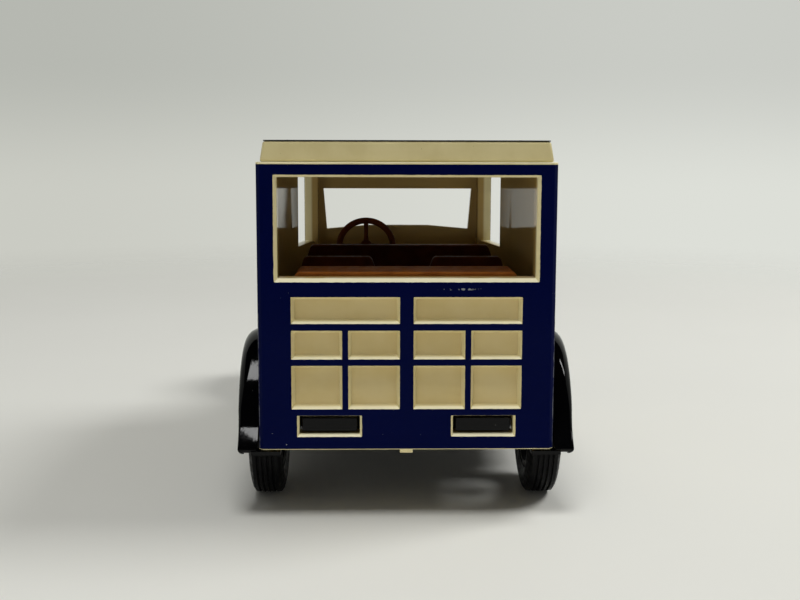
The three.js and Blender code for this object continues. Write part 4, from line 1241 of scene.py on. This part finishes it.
def steering_wheel():
    reach = STEERING_RADIUS - STEERING_RIM
    origin = Vector((0, 0, 0))
    rim = [(z, reach + r) for r, z in circle(STEERING_RIM, STEERING_RIM_POINTS)]
    wheel = turned(rim, origin, "upright", STEERING_STEPS)
    wheel.add(turned(STEERING_HUB, origin, "upright", SMALL_STEPS))
    rings = []
    for share in SPOKE_RINGS:
        out = between(SPOKE_ROOT, reach, share)
        wide = SPOKE_HALF_WIDTH - SPOKE_WAIST * math.sin(math.pi * share)
        rings.append([Vector((out, wide * u, SPOKE_HALF_DEPTH * v)) for u, v in circle(1.0)])
    wheel.add(*turned_copies(lofted(rings), STEERING_SPOKES, "Z"))
    lean = Matrix.Rotation(-math.radians(90 + STEERING_TILT), 4, "X")
    return wheel.moved(Matrix.Translation(STEERING_CENTRE) @ lean)


HANDLE_STATION = 43.0
HANDLE_HEIGHT = 28.55
HANDLE_BOSS = ((-0.1, 0), (-0.1, 0.42), (0.16, 0.42), (0.24, 0.34), (0.24, 0))
HANDLE_RINGS = (0.0, 0.2, 0.5, 0.8, 1.0)
HANDLE_LENGTH = 2.3
HANDLE_STAND = 0.34
HANDLE_BEND = 0.12
HANDLE_DROP = 0.12
HANDLE_THICKNESS = 0.2
HANDLE_TAPER = 0.06
HANDLE_OVAL = 1.2


def door_handle():
    """A small lever with a round boss, on the cab's side under the window."""
    root = at(roof_half_width(HANDLE_STATION), HANDLE_STATION, HANDLE_HEIGHT)
    stand = Vector((HANDLE_STAND, 0, 0))
    lever = Vector((-HANDLE_BEND, HANDLE_LENGTH, -HANDLE_DROP))
    rings = []
    for share in HANDLE_RINGS:
        centre = root + stand + lever * share
        thick = HANDLE_THICKNESS - HANDLE_TAPER * share
        rings.append([centre + Vector((u, 0, HANDLE_OVAL * v)) for u, v in circle(thick)])
    return turned(HANDLE_BOSS, root, "across", BOSS_STEPS).add(lofted(rings))


# Wheels

WHEEL_CENTRE = 17.7
TYRE_RADIUS = 9.5
TREAD_HALF_WIDTH = 1.6
TREAD_CROWN = 0.1
TREAD_GROOVES = 4
GROOVE_DEPTH = 0.28
GROOVE_WIDTH = 0.26
GROOVE_EDGE = 0.05
GROOVE_FLOOR = 0.7
TYRE_STEPS = 144
NOTCH_DEPTH = 0.14
NOTCH_PITCH = 3
NOTCH_RADIUS = 8.5
# Outlines as (distance from the wheel's middle, radius)
TYRE_SIDE = (
    (1.75, 6.4), (1.95, 6.75), (2.02, 7.0), (2.12, 7.25), (2.15, 7.7), (2.12, 8.1),
    (2.06, 8.2), (2.06, 8.3), (2.02, 8.55), (1.93, 8.85), (1.84, 9.05), (1.72, 9.22),
)
WHEEL_RIM = (
    (-1.7, 5.55), (-1.7, 6.2), (-1.6, 6.34), (1.6, 6.34), (1.7, 6.2), (1.7, 5.95),
    (1.58, 5.85), (1.4, 5.8), (1.25, 5.5), (0.5, 5.46), (-0.5, 5.46), (-1.5, 5.5),
)
WHEEL_HUB = (
    (-1.4, 1.04), (-1.4, 1.6), (-1.2, 1.8), (0.7, 1.8), (0.9, 1.72), (1.25, 1.68), (1.4, 1.55), (1.4, 1.04),
)
WHEEL_SPOKES = 12
# A spoke's sections as (distance out, half width, half depth)
SPOKE_SECTIONS = ((1.4, 0.42, 0.5), (2.2, 0.36, 0.42), (4.6, 0.27, 0.33), (5.6, 0.34, 0.45))


def tread_radius(along):
    return TYRE_RADIUS - TREAD_CROWN * (along / TREAD_HALF_WIDTH) ** 2


def tyre_profile():
    """A round-shouldered outline with grooves across the tread and a bead on each side."""
    pitch = 2 * TREAD_HALF_WIDTH / (TREAD_GROOVES + 1)
    half_groove = GROOVE_WIDTH / 2
    groove = [
        (half_groove + GROOVE_EDGE, 0.0),
        (half_groove, GROOVE_EDGE),
        (half_groove * GROOVE_FLOOR, GROOVE_DEPTH),
    ]
    across = [(-reach, depth) for reach, depth in groove] + groove[::-1]
    outline = [(-along, radius) for along, radius in TYRE_SIDE]
    outline.append((-TREAD_HALF_WIDTH, tread_radius(TREAD_HALF_WIDTH)))
    for i in range(TREAD_GROOVES):
        middle = -TREAD_HALF_WIDTH + pitch * (i + 1)
        outline += [(middle + reach, tread_radius(middle) - depth) for reach, depth in across]
    outline.append((TREAD_HALF_WIDTH, tread_radius(TREAD_HALF_WIDTH)))
    outline += reversed(TYRE_SIDE)
    return outline


def tyre(centre):
    """The turned outline with small notches pressed round both shoulders."""
    profile = tyre_profile()
    whole = turned(profile, centre, "across", TYRE_STEPS)
    for i, point in enumerate(whole.points):
        step, spot = divmod(i, len(profile))
        along, radius = profile[spot]
        if abs(along) > TREAD_HALF_WIDTH and radius > NOTCH_RADIUS and step % NOTCH_PITCH == 0:
            out = point - Vector((point.x, centre.y, centre.z))
            point -= out.normalized() * NOTCH_DEPTH
    return whole


def wheel(centre):
    """A moulded wheel: a stepped rim, tapered spokes and a hub."""
    whole = turned(WHEEL_RIM, centre, "across")
    whole.add(turned(WHEEL_HUB, centre, "across", SMALL_STEPS))
    rings = []
    for out, wide, deep in SPOKE_SECTIONS:
        rings.append([Vector((deep * u, wide * v, out)) for u, v in circle(1.0)])
    spokes = turned_copies(lofted(rings), WHEEL_SPOKES, "X")
    return whole.add(*(spoke.moved(Matrix.Translation(centre)) for spoke in spokes))


HUB_CAP_SEAT = 1.44
HUB_CAP_STEPS = 48
# The hub cap's rim and button as (distance out from its seat, radius)
HUB_CAP_RIM = ((0.0, 0.0), (0.0, 1.5), (0.1, 1.5), (0.16, 1.42), (0.2, 1.32))
HUB_CAP_BUTTON = ((0.64, 0.3), (0.68, 0.2), (0.7, 0.0))
HUB_DOME_FOOT = 0.2
HUB_DOME_HEIGHT = 0.42
HUB_DOME_RADIUS = 1.25
HUB_DOME_ANGLES = (0.25, 0.6, 0.95, 1.25)
AXLE_RADIUS = 1.0
AXLE_CHAMFER = 0.15
AXLE_SHOULDER = 12.0
AXLE_STEP = 0.1
AXLE_SLIMMER = 0.02
RIVET_HEAD = 0.6
RIVET_SHANK = 0.8
# The rivet's head as (height, radius)
RIVET_ROUND = (
    (0.16, 0), (0.16, 0.35), (0.0, 0.6), (0.0, 0.95), (0.12, 1.25), (RIVET_HEAD / 2, 1.5), (RIVET_HEAD, 1.6),
)


def hub_cap(centre):
    cap_dome = dome(HUB_DOME_FOOT, HUB_DOME_HEIGHT, HUB_DOME_RADIUS, HUB_DOME_ANGLES)
    profile = [*HUB_CAP_RIM, *cap_dome, *HUB_CAP_BUTTON]
    seat = centre + Vector((HUB_CAP_SEAT, 0, 0))
    return turned(profile, seat, "across", HUB_CAP_STEPS)


def axle(node):
    """A plain pin with chamfered ends, a touch slimmer between its shoulders."""
    low, high = box_of(node)
    centre = Vector((0, (low.y + high.y) / 2, AXLE_HEIGHT))
    half = [
        (AXLE_SHOULDER - AXLE_STEP, AXLE_RADIUS - AXLE_SLIMMER),
        (AXLE_SHOULDER, AXLE_RADIUS),
        (high.x - AXLE_CHAMFER, AXLE_RADIUS),
        (high.x, AXLE_RADIUS - AXLE_CHAMFER),
        (high.x, 0),
    ]
    profile = [(-along, radius) for along, radius in reversed(half)] + half
    return turned(profile, centre, "across", SMALL_STEPS)


def make_wheelset(end, station, wheel_material, tyre_material, cap_material, axle_material):
    centre = at(WHEEL_CENTRE, station, AXLE_HEIGHT)
    make_pair(f"{end}_tyre", tyre(centre), tyre_material)
    make_pair(f"{end}_wheel", wheel(centre), wheel_material)
    make_pair(f"{end}_hub_cap", hub_cap(centre), cap_material)
    make(f"{end}_axle", axle(f"{end}_axle"), axle_material)


def rivet(node):
    low, high = box_of(node)
    centre = Vector((0, (low.y + high.y) / 2, low.z))
    top = high.z - low.z
    profile = [*RIVET_ROUND, (RIVET_HEAD, RIVET_SHANK), (top, RIVET_SHANK), (top, 0)]
    return turned(profile, centre, "upright", SMALL_STEPS)


# The stage

CAMERA_PLACE = Vector((-4.06, -189.13, 46.9))
CAMERA_YAW = 1.304
CAMERA_PITCH = 7.891
CAMERA_ROLL = 0.155
CAMERA_LENS = 53.55
CAMERA_SENSOR = 36.0
CAMERA_NEAR = 1.0
BACKDROP_LEFT = colour(202, 203, 195)
BACKDROP_RIGHT = colour(221, 223, 216)
BACKDROP_TOP_LEFT = colour(182, 184, 177)
BACKDROP_TOP_RIGHT = colour(202, 204, 198)
# Where the backdrop changes, as parts of a direction of length one
BACKDROP_SIDES = (-0.3, 0.3)
BACKDROP_HEIGHTS = (-0.05, 0.06)
WORLD_LIGHT = (1.0, 0.99, 0.96, 1.0)
WORLD_STRENGTH = 0.17
FLOOR = colour(229, 229, 222)
FLOOR_SHADE = colour(226, 226, 219)
FLOOR_RADIUS = 400.0
FLOOR_FADE = (120.0, 350.0)
FLOOR_STEPS = 128
CARD = colour(18, 18, 19)
CARD_PALE = colour(26, 26, 25)
CARD_REACH = 1200
# Dark cards by name: rear, front, foot and top
CARDS = {
    "card_behind": (-900, -890, -10, 1000),
    "card_foot": (-890, -260, -12, -2),
    "card_above": (-890, 700, 1000, 1010),
}


def add_camera():
    """A camera that looks forward, turned to the right, tipped down and rolled."""
    data = bpy.data.cameras.new("camera")
    data.lens = CAMERA_LENS
    data.sensor_width = CAMERA_SENSOR
    data.clip_start = CAMERA_NEAR * MM
    camera = bpy.data.objects.new("camera", data)
    place = Matrix.Translation(CAMERA_PLACE * MM)
    yaw = Matrix.Rotation(-math.radians(CAMERA_YAW), 4, "Z")
    pitch = Matrix.Rotation(math.radians(90 - CAMERA_PITCH), 4, "X")
    roll = Matrix.Rotation(math.radians(CAMERA_ROLL), 4, "Z")
    camera.matrix_world = place @ yaw @ pitch @ roll
    bpy.context.scene.collection.objects.link(camera)
    bpy.context.scene.camera = camera


def seen_ray(nodes):
    """1 for rays that show the backdrop: from the camera, or off gloss and through glass."""
    path = nodes.node("ShaderNodeLightPath").outputs
    return nodes.chain("MAXIMUM", path["Is Camera Ray"], path["Is Glossy Ray"], path["Is Transmission Ray"])


def floor_material():
    """A pale floor that takes shadows near the van and fades into the backdrop farther off."""
    recipe = Recipe("floor", Roughness=0.6, Specular_IOR_Level=0.2)
    recipe.set("Base Color", recipe.mix(recipe.noise(size=40.0, seed=1.0), FLOOR, FLOOR_SHADE))
    length = recipe.node("ShaderNodeVectorMath", operation="LENGTH")
    recipe.feed(length.inputs[0], recipe.place)
    far = recipe.fade(length.outputs["Value"], FLOOR_FADE)
    clear = recipe.node("ShaderNodeBsdfTransparent").outputs[0]
    faded = recipe.blend(far, recipe.shader.outputs[0], clear)
    recipe.feed(recipe.tree.nodes["Material Output"].inputs["Surface"], faded)
    return recipe.material


def add_stage_piece(name, work, material):
    mesh = bpy.data.meshes.new(name)
    work.to_mesh(mesh)
    work.free()
    mesh.materials.append(material)
    piece = bpy.data.objects.new(name, mesh)
    bpy.context.scene.collection.objects.link(piece)
    return piece


def add_floor():
    work = bmesh.new()
    bmesh.ops.create_circle(work, cap_ends=True, segments=FLOOR_STEPS, radius=FLOOR_RADIUS * MM)
    add_stage_piece("floor", work, floor_material())


def add_dark_cards():
    """Dark cards behind the camera and overhead, which only gloss sees."""
    recipe = Recipe("dark_card", Roughness=0.9, Specular_IOR_Level=0.0)
    recipe.set("Base Color", recipe.mix(recipe.noise(size=80.0), CARD, CARD_PALE))
    for name, (rear, front, foot, top) in CARDS.items():
        shape = block((-CARD_REACH, rear, foot), (CARD_REACH, front, top))
        card = add_stage_piece(name, bmesh_of(shape), recipe.material)
        card.visible_camera = False
        card.visible_diffuse = False
        card.visible_shadow = False


def add_world():
    """Soft light all round, seen as a pale backdrop that darkens upwards and to the left."""
    world = bpy.data.worlds.new("studio")
    world.use_nodes = True
    bpy.context.scene.world = world
    nodes = Nodes(world.node_tree)
    light = world.node_tree.nodes["Background"]
    light.inputs["Color"].default_value = WORLD_LIGHT
    light.inputs["Strength"].default_value = WORLD_STRENGTH
    across, _, height = nodes.parts(nodes.node("ShaderNodeTexCoord").outputs["Generated"])
    sideways = nodes.range(across, *BACKDROP_SIDES)
    low = nodes.mix(sideways, BACKDROP_LEFT, BACKDROP_RIGHT)
    high = nodes.mix(sideways, BACKDROP_TOP_LEFT, BACKDROP_TOP_RIGHT)
    seen = nodes.node("ShaderNodeBackground")
    nodes.feed(seen.inputs["Color"], nodes.mix(nodes.range(height, *BACKDROP_HEIGHTS), low, high))
    whole = nodes.blend(seen_ray(nodes), light.outputs[0], seen.outputs[0])
    nodes.feed(world.node_tree.nodes["World Output"].inputs["Surface"], whole)


def add_lamp(name, place, target, width, height, watts, mirrored):
    """A lamp that either lights the scene or is only mirrored in gloss."""
    data = bpy.data.lights.new(name, "AREA")
    data.shape = "RECTANGLE"
    data.size = width * MM
    data.size_y = height * MM
    data.energy = watts
    lamp = bpy.data.objects.new(name, data)
    lamp.visible_glossy = mirrored
    lamp.visible_diffuse = not mirrored
    lamp.location = Vector(place) * MM
    aim = Vector(target) - Vector(place)
    lamp.rotation_euler = aim.to_track_quat("-Z", "Y").to_euler()
    bpy.context.scene.collection.objects.link(lamp)


def add_lamps():
    add_lamp("overhead", (-30, -250, 800), (0, 0, 0), width=300, height=300, watts=2.9, mirrored=False)
    add_lamp("right_key", (420, 70, 500), (0, 0, 0), width=240, height=240, watts=2.2, mirrored=False)
    add_lamp("low_fill", (-100, -500, 20), (0, REAR, 20), width=500, height=30, watts=0.32, mirrored=False)
    add_lamp("rear_strip", (-90, -390, 700), (-20, -45, 15), width=80, height=430, watts=1.9, mirrored=True)
    add_lamp("right_glint", (360, -200, 600), (0, 0, 20), width=100, height=300, watts=1.8, mirrored=True)


# The van

navy_gloss = navy_paint()
cream_gloss = cream_paint()
black_gloss = black_paint()
brown = brown_plastic("seat_brown", BROWN, BROWN_SHADE)
painted_light_brown = brown_plastic("seat_brown_painted_light", PAINTED_LIGHT_BROWN, PAINTED_LIGHT_BROWN_TONE)
bright = plating()
plain_steel = steel()
rubber = tyre_black()
wheel_plastic = wheel_black()

dress("van_body", body_paint(), BODY_EDGE)
dress("roof_panel", cream_gloss, ROOF_EDGE)
make("roof_cover", roof_cover(), roof_texture())
make("scuttle", scuttle(), navy_gloss, SCUTTLE_EDGE)
make("bonnet", bonnet(), navy_gloss)
for hinge_name, hinge_share in HINGES.items():
    add_trim(f"bonnet_hinge_{hinge_name}", hinge_line(math.pi * hinge_share), navy_gloss)
make("radiator_shell", radiator_shell(), bright)
make("radiator_core", radiator_core(), grille_black(), CORE_EDGE)
make("radiator_cap", radiator_cap(), bright)
dress("chassis_frame", black_gloss, FRAME_EDGE)
dress("baseplate", black_gloss, FRAME_EDGE)
for rivet_node in ("rear_rivet", "front_rivet"):
    make(rivet_node, rivet(rivet_node), plain_steel)
make_pair("rear_wing", rear_wing(), black_gloss, end_bevel=WING_EDGE)
make_pair("front_wing", front_wing(), black_gloss, end_bevel=WING_EDGE)
make_pair("running_board", running_board(), black_gloss, BOARD_EDGE)
make_pair("headlamp_bowl", lamp_bowl(), bright)
make_pair("headlamp_lens", lamp_lens(), lens_glass())
make("lamp_bar", lamp_bar(), bright)
for bumper_node in ("bumper_upper_bar", "bumper_lower_bar"):
    make(bumper_node, bumper_bar(bumper_node), bright)
dress("bumper_iron_right", black_gloss, FRAME_EDGE)
dress("bumper_iron_left", black_gloss, FRAME_EDGE)
dress("cabin_floor", brown, FRAME_EDGE)
# Painted light: the rear bench takes the paler copy of the seat brown
dress("rear_bench", painted_light_brown, SEAT_EDGE)
for seat_node in ("middle_seat_right", "middle_seat_left", "front_bench"):
    dress(seat_node, brown, SEAT_EDGE)
make("steering_wheel", steering_wheel(), brown)
dress("steering_column", brown, COLUMN_EDGE)
make_wheelset("rear", REAR_AXLE, wheel_plastic, rubber, bright, plain_steel)
make_wheelset("front", FRONT_AXLE, wheel_plastic, rubber, bright, plain_steel)
handle_shape = door_handle()
add_trim("door_handle_right", handle_shape, bright)
add_trim("door_handle_left", handle_shape.mirrored(), bright)

add_camera()
add_world()
add_floor()
add_dark_cards()
add_lamps()
bpy.context.scene.view_settings.view_transform = "Standard"
